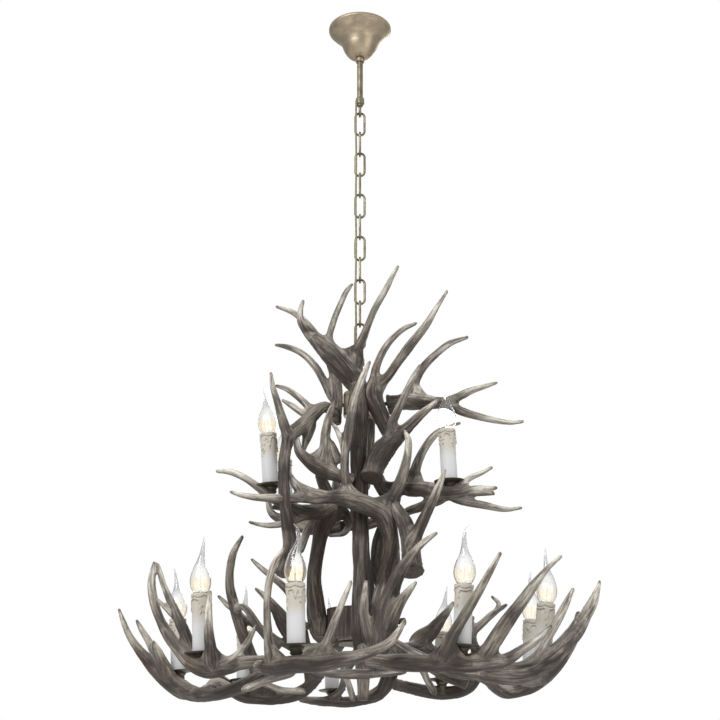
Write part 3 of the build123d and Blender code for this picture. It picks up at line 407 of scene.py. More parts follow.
@dataclass
class Shell:
    """A surface in millimetres: its points, its four-sided faces and values on its points."""

    points: np.ndarray
    quads: np.ndarray
    tags: dict[str, np.ndarray] = field(default_factory=dict)

    def moved(self, turn: np.ndarray, shift: np.ndarray) -> "Shell":
        """The same surface turned by a 3x3 matrix, whose columns are the new axes, then shifted."""
        return Shell(self.points @ turn.T + shift, self.quads, self.tags)

    @staticmethod
    def joined(shells: list["Shell"]) -> "Shell":
        """One surface of several, with each face's point numbers moved up past the earlier ones."""
        starts = np.cumsum([0] + [len(shell.points) for shell in shells[:-1]])
        quads = np.concatenate([shell.quads + start for shell, start in zip(shells, starts)])
        tags = {name: np.concatenate([shell.tags[name] for shell in shells]) for name in shells[0].tags}
        return Shell(np.concatenate([shell.points for shell in shells]), quads, tags)


def grid_quads(rows: int, columns: int, loop_rows: bool = False) -> np.ndarray:
    """Faces of a grid that closes round its columns.

    Args:
        rows: Number of rings of points.
        columns: Number of points in each ring.
        loop_rows: Whether the last ring joins the first one.

    Returns:
        Four point numbers for each face, facing outwards where the ring runs anticlockwise
        about the direction in which the rows go.
    """
    row, column = np.meshgrid(np.arange(rows if loop_rows else rows - 1), np.arange(columns), indexing="ij")
    row, column = row.ravel(), column.ravel()
    above, beside = (row + 1) % rows, (column + 1) % columns
    here, over = row * columns, above * columns
    return np.stack([here + column, here + beside, over + beside, over + column], axis=1)


def lathe(profile: np.ndarray, sides: int = 64) -> Shell:
    """A profile turned about Z: point (i, j) is (r_i cos a_j, r_i sin a_j, z_i).

    Args:
        profile: Radius and height of each ring, from the bottom of the outside upwards.
        sides: Number of points in each ring.

    Returns:
        The turned surface. A ring of radius near 0 closes it.
    """
    angle = np.linspace(0, 2 * math.pi, sides, endpoint=False)
    radius, height = np.asarray(profile, float).T
    ring = np.stack([np.cos(angle), np.sin(angle)], axis=1)
    level = np.broadcast_to(height[:, None, None], (len(radius), sides, 1))
    points = np.concatenate([radius[:, None, None] * ring, level], axis=2)
    return Shell(points.reshape(-1, 3), grid_quads(len(radius), sides))


def smooth_through(points: np.ndarray, step: float) -> np.ndarray:
    """A smooth line through points of any number of columns, sampled about every `step`.

    Each span is a cubic whose slopes at its ends are the mean slopes of the two spans that
    meet there, with distance along the straight runs as the parameter.
    """
    places = np.asarray(points, float)
    spans = np.linalg.norm(np.diff(places[:, :3], axis=0), axis=1)
    at = np.concatenate([[0], np.cumsum(spans)])
    slope = np.diff(places, axis=0) / spans[:, None]
    weight = spans[1:, None] / (spans[1:, None] + spans[:-1, None])
    inner = slope[:-1] * weight + slope[1:] * (1 - weight)
    slopes = np.concatenate([slope[:1], inner, slope[-1:]])
    where = np.linspace(0, at[-1], max(int(at[-1] / step), 4) + 1)
    span = np.clip(np.searchsorted(at, where, side="right") - 1, 0, len(spans) - 1)
    width = spans[span][:, None]
    t = ((where - at[span]) / spans[span])[:, None]
    return (
        (2 * t**3 - 3 * t**2 + 1) * places[span]
        + (t**3 - 2 * t**2 + t) * width * slopes[span]
        + (3 * t**2 - 2 * t**3) * places[span + 1]
        + (t**3 - t**2) * width * slopes[span + 1]
    )


@dataclass
class Line:
    """A path with a square pair of side directions carried along it without twist."""

    places: np.ndarray
    ahead: np.ndarray
    across: np.ndarray
    side: np.ndarray
    along: np.ndarray

    @classmethod
    def through(cls, places: np.ndarray, closed: bool = False) -> "Line":
        """The path through `places`: tangents from neighbours, sides kept square to them in turn."""
        if closed:
            ahead = np.roll(places, -1, axis=0) - np.roll(places, 1, axis=0)
        else:
            ahead = np.gradient(places, axis=0)
        ahead = ahead / np.linalg.norm(ahead, axis=1, keepdims=True)
        across = np.zeros_like(places)
        last = np.cross(ahead[0], (0.31, 0.87, 0.39))
        for number, tangent in enumerate(ahead):
            last = last - tangent * last.dot(tangent)
            last = last / np.linalg.norm(last)
            across[number] = last
        steps = np.linalg.norm(np.diff(places, axis=0), axis=1)
        return cls(places, ahead, across, np.cross(ahead, across), np.concatenate([[0], np.cumsum(steps)]))

    def tube(self, radii: np.ndarray, sides: int, closed: bool = False) -> Shell:
        """A tube: ring i is place_i + r_i (across_i cos a + side_i sin a), its ends drawn to a point."""
        radii = np.broadcast_to(np.asarray(radii, float).reshape(len(radii), -1), (len(radii), sides))
        angle = np.linspace(0, 2 * math.pi, sides, endpoint=False)
        out = self.across[:, None] * np.cos(angle)[:, None] + self.side[:, None] * np.sin(angle)[:, None]
        points = self.places[:, None] + radii[:, :, None] * out
        if not closed:
            first = np.broadcast_to(self.places[0], (1, sides, 3))
            last = np.broadcast_to(self.places[-1], (1, sides, 3))
            points = np.concatenate([first, points, last])
        return Shell(points.reshape(-1, 3), grid_quads(len(points), sides, closed))


def lattice_noise(places: np.ndarray, seed: int) -> np.ndarray:
    """Smooth noise from 0 to 1: a random value at each whole-number corner, eased between them."""
    cell = np.floor(places).astype(np.int64)
    part = places - cell
    ease = part * part * (3 - 2 * part)
    total = np.zeros(len(places))
    for corner in itertools.product((0, 1), repeat=3):
        at = cell + np.array(corner)
        mixed = (at[:, 0] * 73856093) ^ (at[:, 1] * 19349663) ^ (at[:, 2] * 83492791) ^ (seed * 668265263)
        mixed = (mixed ^ (mixed >> 13)) * 1274126177
        value = ((mixed ^ (mixed >> 16)) & 0xFFFF) / 65535.0
        total += value * np.prod(np.where(np.array(corner) == 1, ease, 1 - ease), axis=1)
    return total


def eased(values: np.ndarray, low: float, high: float) -> np.ndarray:
    """0 below `low`, 1 above `high`, and a smooth step between them."""
    t = np.clip((np.asarray(values, float) - low) / (high - low), 0, 1)
    return t * t * (3 - 2 * t)


def piece_of(
    name: str, shell: Shell, material: bpy.types.Material, sharp_deg: float = 40.0, lined: bool = False
) -> bpy.types.Object:
    """A scene object of a shell.

    Args:
        name: The object's name.
        shell: Its surface, in millimetres.
        material: Its finish.
        sharp_deg: Edges that turn more than this stay crisp.
        lined: Whether the shell has an inner skin of its own, so that its faces stay as drawn.

    Returns:
        The object, at the origin, with doubled points merged and its faces outwards.
    """
    mesh = bpy.data.meshes.new(name)
    count = len(shell.quads)
    mesh.vertices.add(len(shell.points))
    mesh.vertices.foreach_set("co", (shell.points * MM).astype(np.float32).ravel())
    mesh.loops.add(count * 4)
    mesh.loops.foreach_set("vertex_index", shell.quads.astype(np.int32).ravel())
    mesh.polygons.add(count)
    mesh.polygons.foreach_set("loop_start", np.arange(count, dtype=np.int32) * 4)
    mesh.update(calc_edges=True)
    mesh.validate()
    for tag, values in shell.tags.items():
        kind = "FLOAT" if values.ndim == 1 else "FLOAT_VECTOR"
        layer = mesh.attributes.new(tag, kind, "POINT")
        layer.data.foreach_set("value" if kind == "FLOAT" else "vector", values.astype(np.float32).ravel())
    work = bmesh.new()
    work.from_mesh(mesh)
    bmesh.ops.remove_doubles(work, verts=work.verts, dist=0.02 * MM)
    if not lined:
        bmesh.ops.recalc_face_normals(work, faces=work.faces)
    work.to_mesh(mesh)
    work.free()
    mesh.shade_smooth()
    mesh.set_sharp_from_angle(angle=math.radians(sharp_deg))
    mesh.materials.append(material)
    piece = bpy.data.objects.new(name, mesh)
    bpy.context.scene.collection.objects.link(piece)
    return piece


def settle(piece: bpy.types.Object, body: str, slot: Slot, *nodes: str) -> bpy.types.Object:
    """Hands a piece to a body, in place of the CAD nodes it stands for."""
    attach(piece, body)
    if nodes:
        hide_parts(*nodes)
    log.info("%s: %d faces on %s", piece.name, len(piece.data.polygons), body)
    return piece


# ---- Finishes ----
@dataclass
class Graph:
    """A material's node tree, with short ways to add to it."""

    material: bpy.types.Material

    @classmethod
    def named(cls, name: str) -> "Graph":
        """A new material with only its shader and its output."""
        material = bpy.data.materials.new(name)
        material.use_nodes = True
        return cls(material)

    @property
    def shader(self) -> bpy.types.Node:
        """The material's Principled shader."""
        return self.material.node_tree.nodes["Principled BSDF"]

    def node(self, kind: str, **values: object) -> bpy.types.Node:
        """A node of that kind with its settings."""
        made = self.material.node_tree.nodes.new(kind)
        for key, value in values.items():
            setattr(made, key, value)
        return made

    def link(self, source: Socket, target: Socket) -> None:
        """A link between two sockets."""
        self.material.node_tree.links.new(source, target)

    def place(self) -> Socket:
        """The point's own place on the piece, in metres."""
        return self.node("ShaderNodeTexCoord").outputs["Object"]

    def tag(self, name: str, output: str = "Fac") -> Socket:
        """A value that the mesh holds on its points."""
        return self.node("ShaderNodeAttribute", attribute_name=name).outputs[output]

    def noise(self, where: Socket, scale: float, detail: float = 3, rough: float = 0.55) -> Socket:
        """Cloudy noise at that place, from 0 to 1."""
        made = self.node("ShaderNodeTexNoise")
        made.inputs["Scale"].default_value = scale
        made.inputs["Detail"].default_value = detail
        made.inputs["Roughness"].default_value = rough
        self.link(where, made.inputs["Vector"])
        return made.outputs["Fac"]

    def stretch(self, where: Socket, scale: tuple[float, float, float]) -> Socket:
        """The place scaled by its own factor on each axis."""
        made = self.node("ShaderNodeMapping")
        made.inputs["Scale"].default_value = scale
        self.link(where, made.inputs["Vector"])
        return made.outputs["Vector"]

    def ramp(self, value: Socket, stops: list[tuple[float, Colour]]) -> Socket:
        """A colour read from a value through coloured stops."""
        made = self.node("ShaderNodeValToRGB")
        while len(made.color_ramp.elements) < len(stops):
            made.color_ramp.elements.new(0.5)
        for element, (position, colour) in zip(made.color_ramp.elements, stops):
            element.position = position
            element.color = (*colour, 1)
        self.link(value, made.inputs["Fac"])
        return made.outputs["Color"]

    def span(self, value: Socket, low: float, high: float, to_low: float = 0.0, to_high: float = 1.0) -> Socket:
        """A value mapped from one range to another, held inside it."""
        made = self.node("ShaderNodeMapRange")
        for name, number in (("From Min", low), ("From Max", high), ("To Min", to_low), ("To Max", to_high)):
            made.inputs[name].default_value = number
        self.link(value, made.inputs["Value"])
        return made.outputs["Result"]

    def mix(self, share: Socket | float, first: object, second: object, blend: str = "MIX") -> Socket:
        """Two colours mixed by a share, or blended in another way."""
        made = self.node("ShaderNodeMix", data_type="RGBA", blend_type=blend)
        for socket, value in ((made.inputs[0], share), (made.inputs[6], first), (made.inputs[7], second)):
            if isinstance(value, Socket):
                self.link(value, socket)
            else:
                socket.default_value = value if isinstance(value, float) else (*value, 1)
        return made.outputs[2]

    def times(self, first: Socket, second: Socket | float, kind: str = "MULTIPLY") -> Socket:
        """A product, or another sum, of two values."""
        made = self.node("ShaderNodeMath", operation=kind)
        for socket, value in ((made.inputs[0], first), (made.inputs[1], second)):
            if isinstance(value, Socket):
                self.link(value, socket)
            else:
                socket.default_value = value
        return made.outputs[0]

    def bump(self, height: Socket, distance: float, strength: float = 1.0) -> None:
        """Relief under the light, `distance` metres deep where the height is 1."""
        made = self.node("ShaderNodeBump")
        made.inputs["Strength"].default_value = strength
        made.inputs["Distance"].default_value = distance
        self.link(height, made.inputs["Height"])
        self.link(made.outputs["Normal"], self.shader.inputs["Normal"])

    def colour(self, source: Socket) -> None:
        """Sets what the shader's base colour reads."""
        self.link(source, self.shader.inputs["Base Color"])

    def rough(self, source: Socket) -> None:
        """Sets what the shader's roughness reads."""
        self.link(source, self.shader.inputs["Roughness"])

    def constant(self, **values: object) -> "Graph":
        """Sets the shader's own sockets, named with spaces as underscores."""
        for key, value in values.items():
            self.shader.inputs[key.replace("_", " ")].default_value = value
        return self


@dataclass(frozen=True)
class AntlerFinish:
    """Weathered antler: fine grain along each branch, dark grooves, pale tips and dark cut ends, with painted
    shade on faces that turn downwards and a painted highlight on faces that turn upwards.
    """

    groove: Colour = (0.016, 0.012, 0.009)
    bark: Colour = (0.062, 0.046, 0.036)
    worn: Colour = (0.190, 0.158, 0.126)
    bone: Colour = (0.400, 0.368, 0.310)
    # Pale tip colour: the worn tips, and also the painted highlight on upward faces.
    tip: Colour = (0.690, 0.655, 0.575)
    olive: Colour = (0.185, 0.185, 0.120)
    rust: Colour = (0.220, 0.135, 0.080)
    # Dark stain colour: real stains and streaks, and also the painted shade on downward faces.
    stain_and_shade: Colour = (0.050, 0.037, 0.029)
    cut: Colour = (0.090, 0.068, 0.050)
    # Darkening colour for each antler's tone: partly its own darker colour, partly painted shade.
    dark_tone_and_shade: Colour = (0.52, 0.475, 0.435)

    def build(self) -> bpy.types.Material:
        """Grain from the point's own coordinates along the branch, then age, crevice, painted shade and
        highlight, and cut.
        """
        graph = Graph.named("antler")
        grain = graph.tag("grain", "Vector")
        place = graph.place()
        streak = graph.noise(grain, 1.3, 6, 0.66)
        rough_stops = [(0.38, self.groove), (0.48, self.bark), (0.60, self.worn), (0.74, self.bone)]
        smooth_stops = [(0.28, self.bark), (0.37, self.worn), (0.46, self.bone), (0.60, self.tip)]
        base = graph.ramp(streak, rough_stops)
        smooth = graph.ramp(streak, smooth_stops)
        polish = graph.times(graph.tag("age"), graph.times(graph.tag("bare"), 0.85), "MAXIMUM")
        base = graph.mix(polish, base, smooth)
        patch = graph.noise(place, 15.0, 4, 0.6)
        base = graph.mix(graph.span(patch, 0.54, 0.68, 0.0, 0.42), base, self.olive)
        long_streak = graph.noise(graph.stretch(grain, (0.42, 0.42, 0.55)), 1.0, 4, 0.6)
        base = graph.mix(graph.span(long_streak, 0.52, 0.60, 0.0, 0.78), base, self.stain_and_shade)
        rust = graph.noise(graph.stretch(place, (1.0, 1.3, 0.8)), 9.0, 3, 0.55)
        base = graph.mix(graph.span(rust, 0.60, 0.74, 0.0, 0.40), base, self.rust)
        stain_and_shade = graph.noise(place, 11.0, 6, 0.68)
        base = graph.mix(graph.span(stain_and_shade, 0.52, 0.64, 0.0, 0.55), base, self.stain_and_shade)
        fleck = graph.noise(graph.stretch(grain, (1.0, 1.0, 3.0)), 2.6, 3, 0.6)
        base = graph.mix(graph.span(fleck, 0.62, 0.70, 0.0, 0.7), base, self.groove)
        speck = graph.noise(place, 160.0, 2, 0.5)
        # Darker in the grooves, which is the antler's own colour, and a little darker at the forks between
        # branches, which is painted shade.
        base = graph.mix(graph.times(graph.tag("crevice"), 0.9), base, self.groove)
        # Painted shade: faces that turn downwards are darkened towards the dark stain colour.
        shade = graph.tag("shade")
        base = graph.mix(graph.span(shade, -0.10, 0.90, 0.0, 0.86), base, self.stain_and_shade)
        # Painted highlight: faces that turn upwards are lightened towards the pale tip colour.
        base = graph.mix(graph.span(shade, -0.25, -1.0, 0.0, 0.28), base, self.tip)
        # Each antler's tone darkens it by multiplying, most on thick parts; partly its own colour and partly
        # painted shade, strongest on the inner and back antlers.
        base = graph.mix(graph.tag("tint"), base, self.dark_tone_and_shade, "MULTIPLY")
        nub_cloud = graph.span(graph.noise(place, 9.0, 3, 0.6), 0.38, 0.60, 0.15, 0.85)
        base = graph.mix(graph.times(graph.tag("nub"), nub_cloud), base, self.stain_and_shade)
        ring = graph.noise(place, 300.0, 3, 0.6)
        end = graph.mix(graph.span(ring, 0.35, 0.7), self.cut, self.groove)
        graph.colour(graph.mix(graph.tag("cut"), base, end))
        graph.rough(graph.span(streak, 0.3, 0.75, 0.78, 0.5))
        relief = graph.times(streak, graph.times(speck, 0.35), "ADD")
        graph.bump(graph.times(relief, graph.span(polish, 0.0, 1.0, 1.0, 0.3)), 0.0012, 0.9)
        return graph.material


@dataclass(frozen=True)
class MetalFinish:
    """Plated or painted metal: base colour, a second tone in cloudy patches, and light brushing."""

    name: str
    light: Colour
    dark: Colour
    low_rough: float
    high_rough: float
    metallic: float = 1.0
    cloud: float = 30.0
    brushed: tuple[float, float, float] = (60.0, 60.0, 900.0)
    relief: float = 0.00008

    def build(self) -> bpy.types.Material:
        """Cloudy tone, worn spots, and streaks in the roughness and relief."""
        graph = Graph.named(self.name).constant(Metallic=self.metallic)
        place = graph.place()
        cloud = graph.noise(place, self.cloud, 5, 0.6)
        streak = graph.noise(graph.stretch(place, self.brushed), 1.0, 3, 0.6)
        tone = graph.times(cloud, graph.times(streak, 0.35), "ADD")
        graph.colour(graph.ramp(tone, [(0.42, self.dark), (0.80, self.light)]))
        graph.rough(graph.span(tone, 0.45, 0.85, self.high_rough, self.low_rough))
        graph.bump(streak, self.relief, 0.7)
        return graph.material


@dataclass(frozen=True)
class SleeveFinish:
    """A plastic candle sleeve: white below, cream and waxy above."""

    white: Colour = (0.56, 0.562, 0.56)
    cream: Colour = (0.46, 0.43, 0.355)
    # Painted shade colour for the drip edges and the groove.
    crease_shade: Colour = (0.12, 0.10, 0.075)

    def build(self) -> bpy.types.Material:
        """White to cream by the wax value, with painted shade darkening it along each drip's edge and in the
        groove above it.
        """
        graph = Graph.named("sleeve").constant(Subsurface_Weight=0.12, Subsurface_Scale=0.004)
        place = graph.place()
        cloud = graph.noise(place, 90.0, 4, 0.6)
        wax = graph.times(graph.tag("wax"), graph.span(cloud, 0.3, 0.7, 0.85, 1.0))
        base = graph.mix(wax, self.white, self.cream)
        # Painted shade along the drip edges and in the groove.
        graph.colour(graph.mix(graph.times(graph.tag("crease_shade"), 0.8), base, self.crease_shade))
        graph.rough(graph.span(cloud, 0.3, 0.7, 0.34, 0.5))
        graph.bump(graph.noise(place, 260.0, 3, 0.5), 0.00025, 0.5)
        return graph.material


@dataclass(frozen=True)
class GlassFinish:
    """Clear blown glass, with painted edge shade where it is seen edge on and a painted glow near the filament.
    """

    tint: Colour = (0.965, 0.965, 0.96)
    # Painted edge shade colours, from the face towards the outline.
    rim: Colour = (0.86, 0.86, 0.865)
    edge: Colour = (0.34, 0.34, 0.36)
    # Painted glow colours: the warm emission and the warm tint where the filament's light is painted onto the
    # glass.
    warm: Colour = (1.0, 0.86, 0.62)
    lit: Colour = (1.0, 0.88, 0.66)
    tail: Colour = (0.80, 0.80, 0.81)

    def build(self) -> bpy.types.Material:
        """A clear thin shell that hardly bends what is behind it, with a glossy outer face."""
        graph = Graph.named("bulb_glass").constant(
            Roughness=0.0, IOR=1.10, Transmission_Weight=1.0,
            Coat_Weight=1.0, Coat_IOR=1.5, Coat_Roughness=0.03,
        )
        rim = graph.node("ShaderNodeLayerWeight")
        rim.inputs["Blend"].default_value = 0.42
        # Painted edge shade: the colour turns grey where the glass is seen edge on, standing in for the dark
        # outline that glass shows there.
        clear = graph.ramp(rim.outputs["Facing"], [(0.10, self.tint), (0.50, self.rim), (0.90, self.edge)])
        smoked = graph.mix(graph.tag("tail"), clear, self.tail, "MULTIPLY")
        # Painted light: the filament's glow is painted onto the glass as a warm tint and a faint warm emission
        # around the filament.
        graph.colour(graph.mix(graph.times(graph.tag("glow"), 0.6), smoked, self.lit, "MULTIPLY"))
        graph.constant(Emission_Color=(*self.warm, 1))
        graph.link(graph.times(graph.tag("glow"), 0.03), graph.shader.inputs["Emission Strength"])
        return graph.material


@dataclass(frozen=True)
class GlowFinish:
    """A glowing filament: warm, brighter where its `glow` value is higher."""

    warm: Colour = (1.0, 0.86, 0.60)
    strength: float = 1.9

    def build(self) -> bpy.types.Material:
        """Emission scaled by the value that each bulb's filament holds."""
        graph = Graph.named("filament").constant(Base_Color=(*self.warm, 1), Emission_Color=(*self.warm, 1))
        graph.link(graph.times(graph.tag("glow"), self.strength), graph.shader.inputs["Emission Strength"])
        return graph.material


@dataclass(frozen=True)
class PlainFinish:
    """Moulded plastic or cloth-covered cord: one colour broken up by fine noise."""

    name: str
    light: Colour
    dark: Colour
    rough: float = 0.5
    scale: tuple[float, float, float] = (200.0, 200.0, 200.0)
    relief: float = 0.0002

    def build(self) -> bpy.types.Material:
        """Two near tones by noise, with the same noise as relief."""
        graph = Graph.named(self.name).constant(Roughness=self.rough)
        grain = graph.noise(graph.stretch(graph.place(), self.scale), 1.0, 4, 0.6)
        graph.colour(graph.ramp(grain, [(0.35, self.dark), (0.65, self.light)]))
        graph.bump(grain, self.relief, 0.8)
        return graph.material


def finishes() -> dict[Slot, bpy.types.Material]:
    """Every material slot's finish, made once."""
    brass = MetalFinish("antique_brass", (0.44, 0.365, 0.262), (0.25, 0.20, 0.135), 0.36, 0.54)
    chain = MetalFinish("chain_brass", (0.27, 0.245, 0.17), (0.075, 0.062, 0.038), 0.34, 0.55)
    bronze = MetalFinish("dark_bronze", (0.10, 0.085, 0.055), (0.022, 0.018, 0.012), 0.35, 0.6, 0.6)
    grain, weave = (420.0, 420.0, 22.0), (900.0, 900.0, 900.0)
    wood = PlainFinish("dark_wood", (0.085, 0.066, 0.052), (0.018, 0.013, 0.010), 0.5, grain, 0.0006)
    cord = PlainFinish("cord", (0.27, 0.245, 0.13), (0.15, 0.13, 0.062), 0.42, weave, 0.0003)
    kinds = {
        Slot.ANTLER: AntlerFinish(),
        Slot.ANTIQUE_BRASS: brass,
        Slot.CHAIN_BRASS: chain,
        Slot.STEEL: MetalFinish("steel", (0.55, 0.55, 0.54), (0.30, 0.30, 0.30), 0.3, 0.5),
        Slot.DARK_BRONZE: bronze,
        Slot.DARK_WOOD: wood,
        Slot.SLEEVE: SleeveFinish(),
        Slot.HOLDER: PlainFinish("holder", (0.78, 0.77, 0.74), (0.70, 0.69, 0.66), 0.45),
        Slot.GLASS: GlassFinish(),
        Slot.CAP: MetalFinish("cap", (0.72, 0.72, 0.70), (0.45, 0.45, 0.44), 0.25, 0.4),
        Slot.FILAMENT: GlowFinish(),
        Slot.CORD: cord,
        Slot.TERMINAL: PlainFinish("terminal", (0.75, 0.75, 0.73), (0.66, 0.66, 0.64), 0.45),
    }
    return {slot: kind.build() for slot, kind in kinds.items()}


# ---- Antlers ----
@dataclass
class Branch:
    """One beam or tine: a smooth centre line with its radius, and whether its ends are cut."""

    line: Line
    radii: np.ndarray
    cut_root: bool
    cut_end: bool

    @classmethod
    def of(cls, points: list[tuple[float, float, float, float]], main: bool) -> "Branch":
        """A branch through the table's points; a thick end is a saw cut, a thin one is a rounded tip."""
        cut_from = 8.5
        table = np.asarray(points, float)
        row = smooth_through(table, 4.0)
        row[:, 3] = np.maximum(row[:, 3], 3.1)
        if not main:
            row[:, 3] *= 0.45 + 0.55 * eased(np.arange(len(row)) * 4.0, -4.0, 12.0)
        cut_end = bool(table[-1, 3] >= cut_from)
        if not cut_end:
            blunt = row[-1, 3] * (1.1 if row[-1, 3] < 5.0 else 1.9)
            out = (row[-1, :3] - row[-2, :3]) / np.linalg.norm(row[-1, :3] - row[-2, :3])
            share = np.array([0.35, 0.65, 0.88, 1.0])
            tip = row[-1, :3] + out * (share * blunt)[:, None]
            row = np.concatenate([row, np.column_stack([tip, row[-1, 3] * np.sqrt(1.0001 - share**2)])])
        return cls(Line.through(row[:, :3]), row[:, 3], main and bool(table[0, 3] >= cut_from), cut_end)

    def skin(self, seed: int) -> Shell:
        """The branch's tube, a little oval and lumpy: r (1 + 0.07 cos 2(a - turn) + 0.08 noise)."""
        sides = 28
        angle = np.linspace(0, 2 * math.pi, sides, endpoint=False)
        turn = 0.9 * seed + self.line.along[:, None] / 90.0
        oval = 0.07 * np.cos(2 * (angle[None, :] - turn))
        level = self.line.along[:, None] / 34.0
        around = np.stack(np.broadcast_arrays(np.cos(angle)[None], np.sin(angle)[None], level), axis=2)
        noise = lattice_noise(around.reshape(-1, 3) * (1.3, 1.3, 1.0), seed)
        lumps = noise.reshape(len(self.radii), sides) - 0.5
        flare = 0.16 * np.exp(-((self.line.along / 9.0) ** 2)) if self.cut_root else np.zeros(len(self.radii))
        return self.line.tube(self.radii[:, None] * (1 + oval + 0.16 * lumps + flare[:, None]), sides)


@dataclass
class Antler:
    """An antler: overlapping branches grown together into one skin, then grooved along the grain."""

    name: str
    branches: list[Branch]
    seed: int
    tone: float = 0.5
    voxel: float = 2.3
    smooth_steps: int = 4
    web_steps: int = 60
    groove_depth: float = 1.15
    pearl_height: float = 0.9

    def webs(self) -> list[Shell]:
        """A tapered strut on each side of every fork, from the tine down to the beam.

        With R and r the beam's and the tine's radii, the struts run from the point R + 0.9 r + 4 up
        the tine to the points 0.5 R + 1.2 r + 8 along the beam, both ways.
        """
        struts = []
        for child in self.branches[1:]:
            others = [branch for branch in self.branches if branch is not child]
            root = child.line.places[0]
            depths = [np.linalg.norm(branch.line.places - root, axis=1) / branch.radii for branch in others]
            parent, depth = min(zip(others, depths), key=lambda pair: float(pair[1].min()))
            at = int(depth.argmin())
            if depth[at] > 1.15:
                continue
            big, small = parent.radii[at], child.radii[min(8, len(child.radii) - 1)]
            up = min(int(np.searchsorted(child.line.along, big + 0.9 * small + 4)), len(child.radii) - 2)
            for way in (-1, 1):
                goal = parent.line.along[at] + way * (0.5 * big + 1.2 * small + 8)
                foot = int(np.clip(np.searchsorted(parent.line.along, goal), 1, len(parent.radii) - 2))
                share = np.linspace(0, 1, 9)[:, None]
                places = child.line.places[up] * (1 - share) + parent.line.places[foot] * share
                radii = child.radii[up] * 0.8 * (1 - share) + parent.radii[foot] * 0.62 * share
                struts.append(Line.through(places).tube(radii[:, 0], 20))
        return struts

    def grown(self, material: bpy.types.Material) -> bpy.types.Object:
        """One closed skin of all the branches, from a fine lattice, with the forks softened."""
        shells = [branch.skin(self.seed + i) for i, branch in enumerate(self.branches)]
        rough = piece_of(self.name, Shell.joined([*shells, *self.webs()]), material)
        lattice = rough.modifiers.new("lattice", "REMESH")
        lattice.mode = "VOXEL"
        lattice.voxel_size = self.voxel * MM
        lattice.use_smooth_shade = True
        soften = rough.modifiers.new("soften", "SMOOTH")
        soften.factor = 0.5
        soften.iterations = self.smooth_steps
        graph = bpy.context.evaluated_depsgraph_get()
        mesh = bpy.data.meshes.new_from_object(rough.evaluated_get(graph))
        old = rough.data
        rough.modifiers.clear()
        rough.data = mesh
        bpy.data.meshes.remove(old)
        mesh.name = self.name
        mesh.materials.clear()
        mesh.materials.append(material)
        return rough

    def nearest(self, points: np.ndarray) -> tuple[np.ndarray, ...]:
        """For each point: grain coordinates, distance from the root, branch radius, run-out to its
        branch's end, and how far the second nearest branch is, in radii.

        The nearest branch is the one whose centre line is nearest in units of its own radius.
        The grain is (cos a, sin a) times the radius, and distance along, so it runs with the branch.
        """
        best = np.full(len(points), 1e9)
        second = np.full(len(points), 1e9)
        grain = np.zeros((len(points), 3))
        along = np.zeros(len(points))
        radius = np.ones(len(points))
        left = np.zeros(len(points))
        offset = 0.0
        for branch in self.branches:
            line = branch.line
            gap = points[:, None, :] - line.places[None, :, :]
            distance = np.sqrt((gap * gap).sum(axis=2)) / np.maximum(branch.radii[None, :], 3.0)
            pick = distance.argmin(axis=1)
            near = distance[np.arange(len(points)), pick]
            rest = gap[np.arange(len(points)), pick]
            ahead = (rest * line.ahead[pick]).sum(axis=1)
            x = (rest * line.across[pick]).sum(axis=1)
            y = (rest * line.side[pick]).sum(axis=1)
            size = np.maximum(np.hypot(x, y), 0.1)
            closer = near < best
            second = np.where(closer, best, np.minimum(second, near))
            at = line.along[pick] + ahead
            reach = branch.radii[pick] / size
            new = np.stack([x * reach, y * reach, at + offset], axis=1)
            grain = np.where(closer[:, None], new, grain)
            along = np.where(closer, at if branch is self.branches[0] else 400.0, along)
            radius = np.where(closer, branch.radii[pick], radius)
            left = np.where(closer, line.along[-1] - at, left)
            best = np.minimum(best, near)
            offset += line.along[-1] + 97.0
        return grain, along, radius, left, second

    def cuts(self, points: np.ndarray, normals: np.ndarray) -> np.ndarray:
        """1 on each saw-cut end face, 0 elsewhere: near the end's plane and facing along it."""
        cut = np.zeros(len(points))
        for branch in self.branches:
            line = branch.line
            ends = ((branch.cut_root, 0, -line.ahead[0]), (branch.cut_end, -1, line.ahead[-1]))
            for is_cut, end, out in ends:
                if not is_cut:
                    continue
                gap = points - line.places[end]
                near = np.linalg.norm(gap, axis=1) < branch.radii[end] * 1.12
                cut = np.maximum(cut, near * eased(gap @ out, -2.2, -0.8) * eased(normals @ out, 0.35, 0.75))
        return cut

    def webbed(
        self, mesh: bpy.types.Mesh, points: np.ndarray, share: np.ndarray
    ) -> tuple[np.ndarray, np.ndarray]:
        """Forks drawn into smooth webs: each point moves by `share` to its neighbours' mean, over and over.

        A step towards the mean is followed by a smaller step away from it, so thin parts keep
        their thickness.
        """
        edges = np.zeros(len(mesh.edges) * 2, np.int32)
        mesh.edges.foreach_get("vertices", edges)
        ends = np.concatenate([edges.reshape(-1, 2), edges.reshape(-1, 2)[:, ::-1]])
        count = np.maximum(np.bincount(ends[:, 0], minlength=len(points)), 1)[:, None]
        places = points.copy()
        for step in range(self.web_steps):
            sums = [np.bincount(ends[:, 0], places[ends[:, 1], axis], len(points)) for axis in range(3)]
            pull = 0.6 if step % 3 < 2 else -0.35
            places += (np.stack(sums, axis=1) / count - places) * (share * pull)[:, None]
        mesh.vertices.foreach_set("co", (places * MM).astype(np.float32).ravel())
        mesh.update()
        normals = np.zeros(len(points) * 3, np.float32)
        mesh.vertex_normals.foreach_get("vector", normals)
        return places, normals.reshape(-1, 3).astype(float)

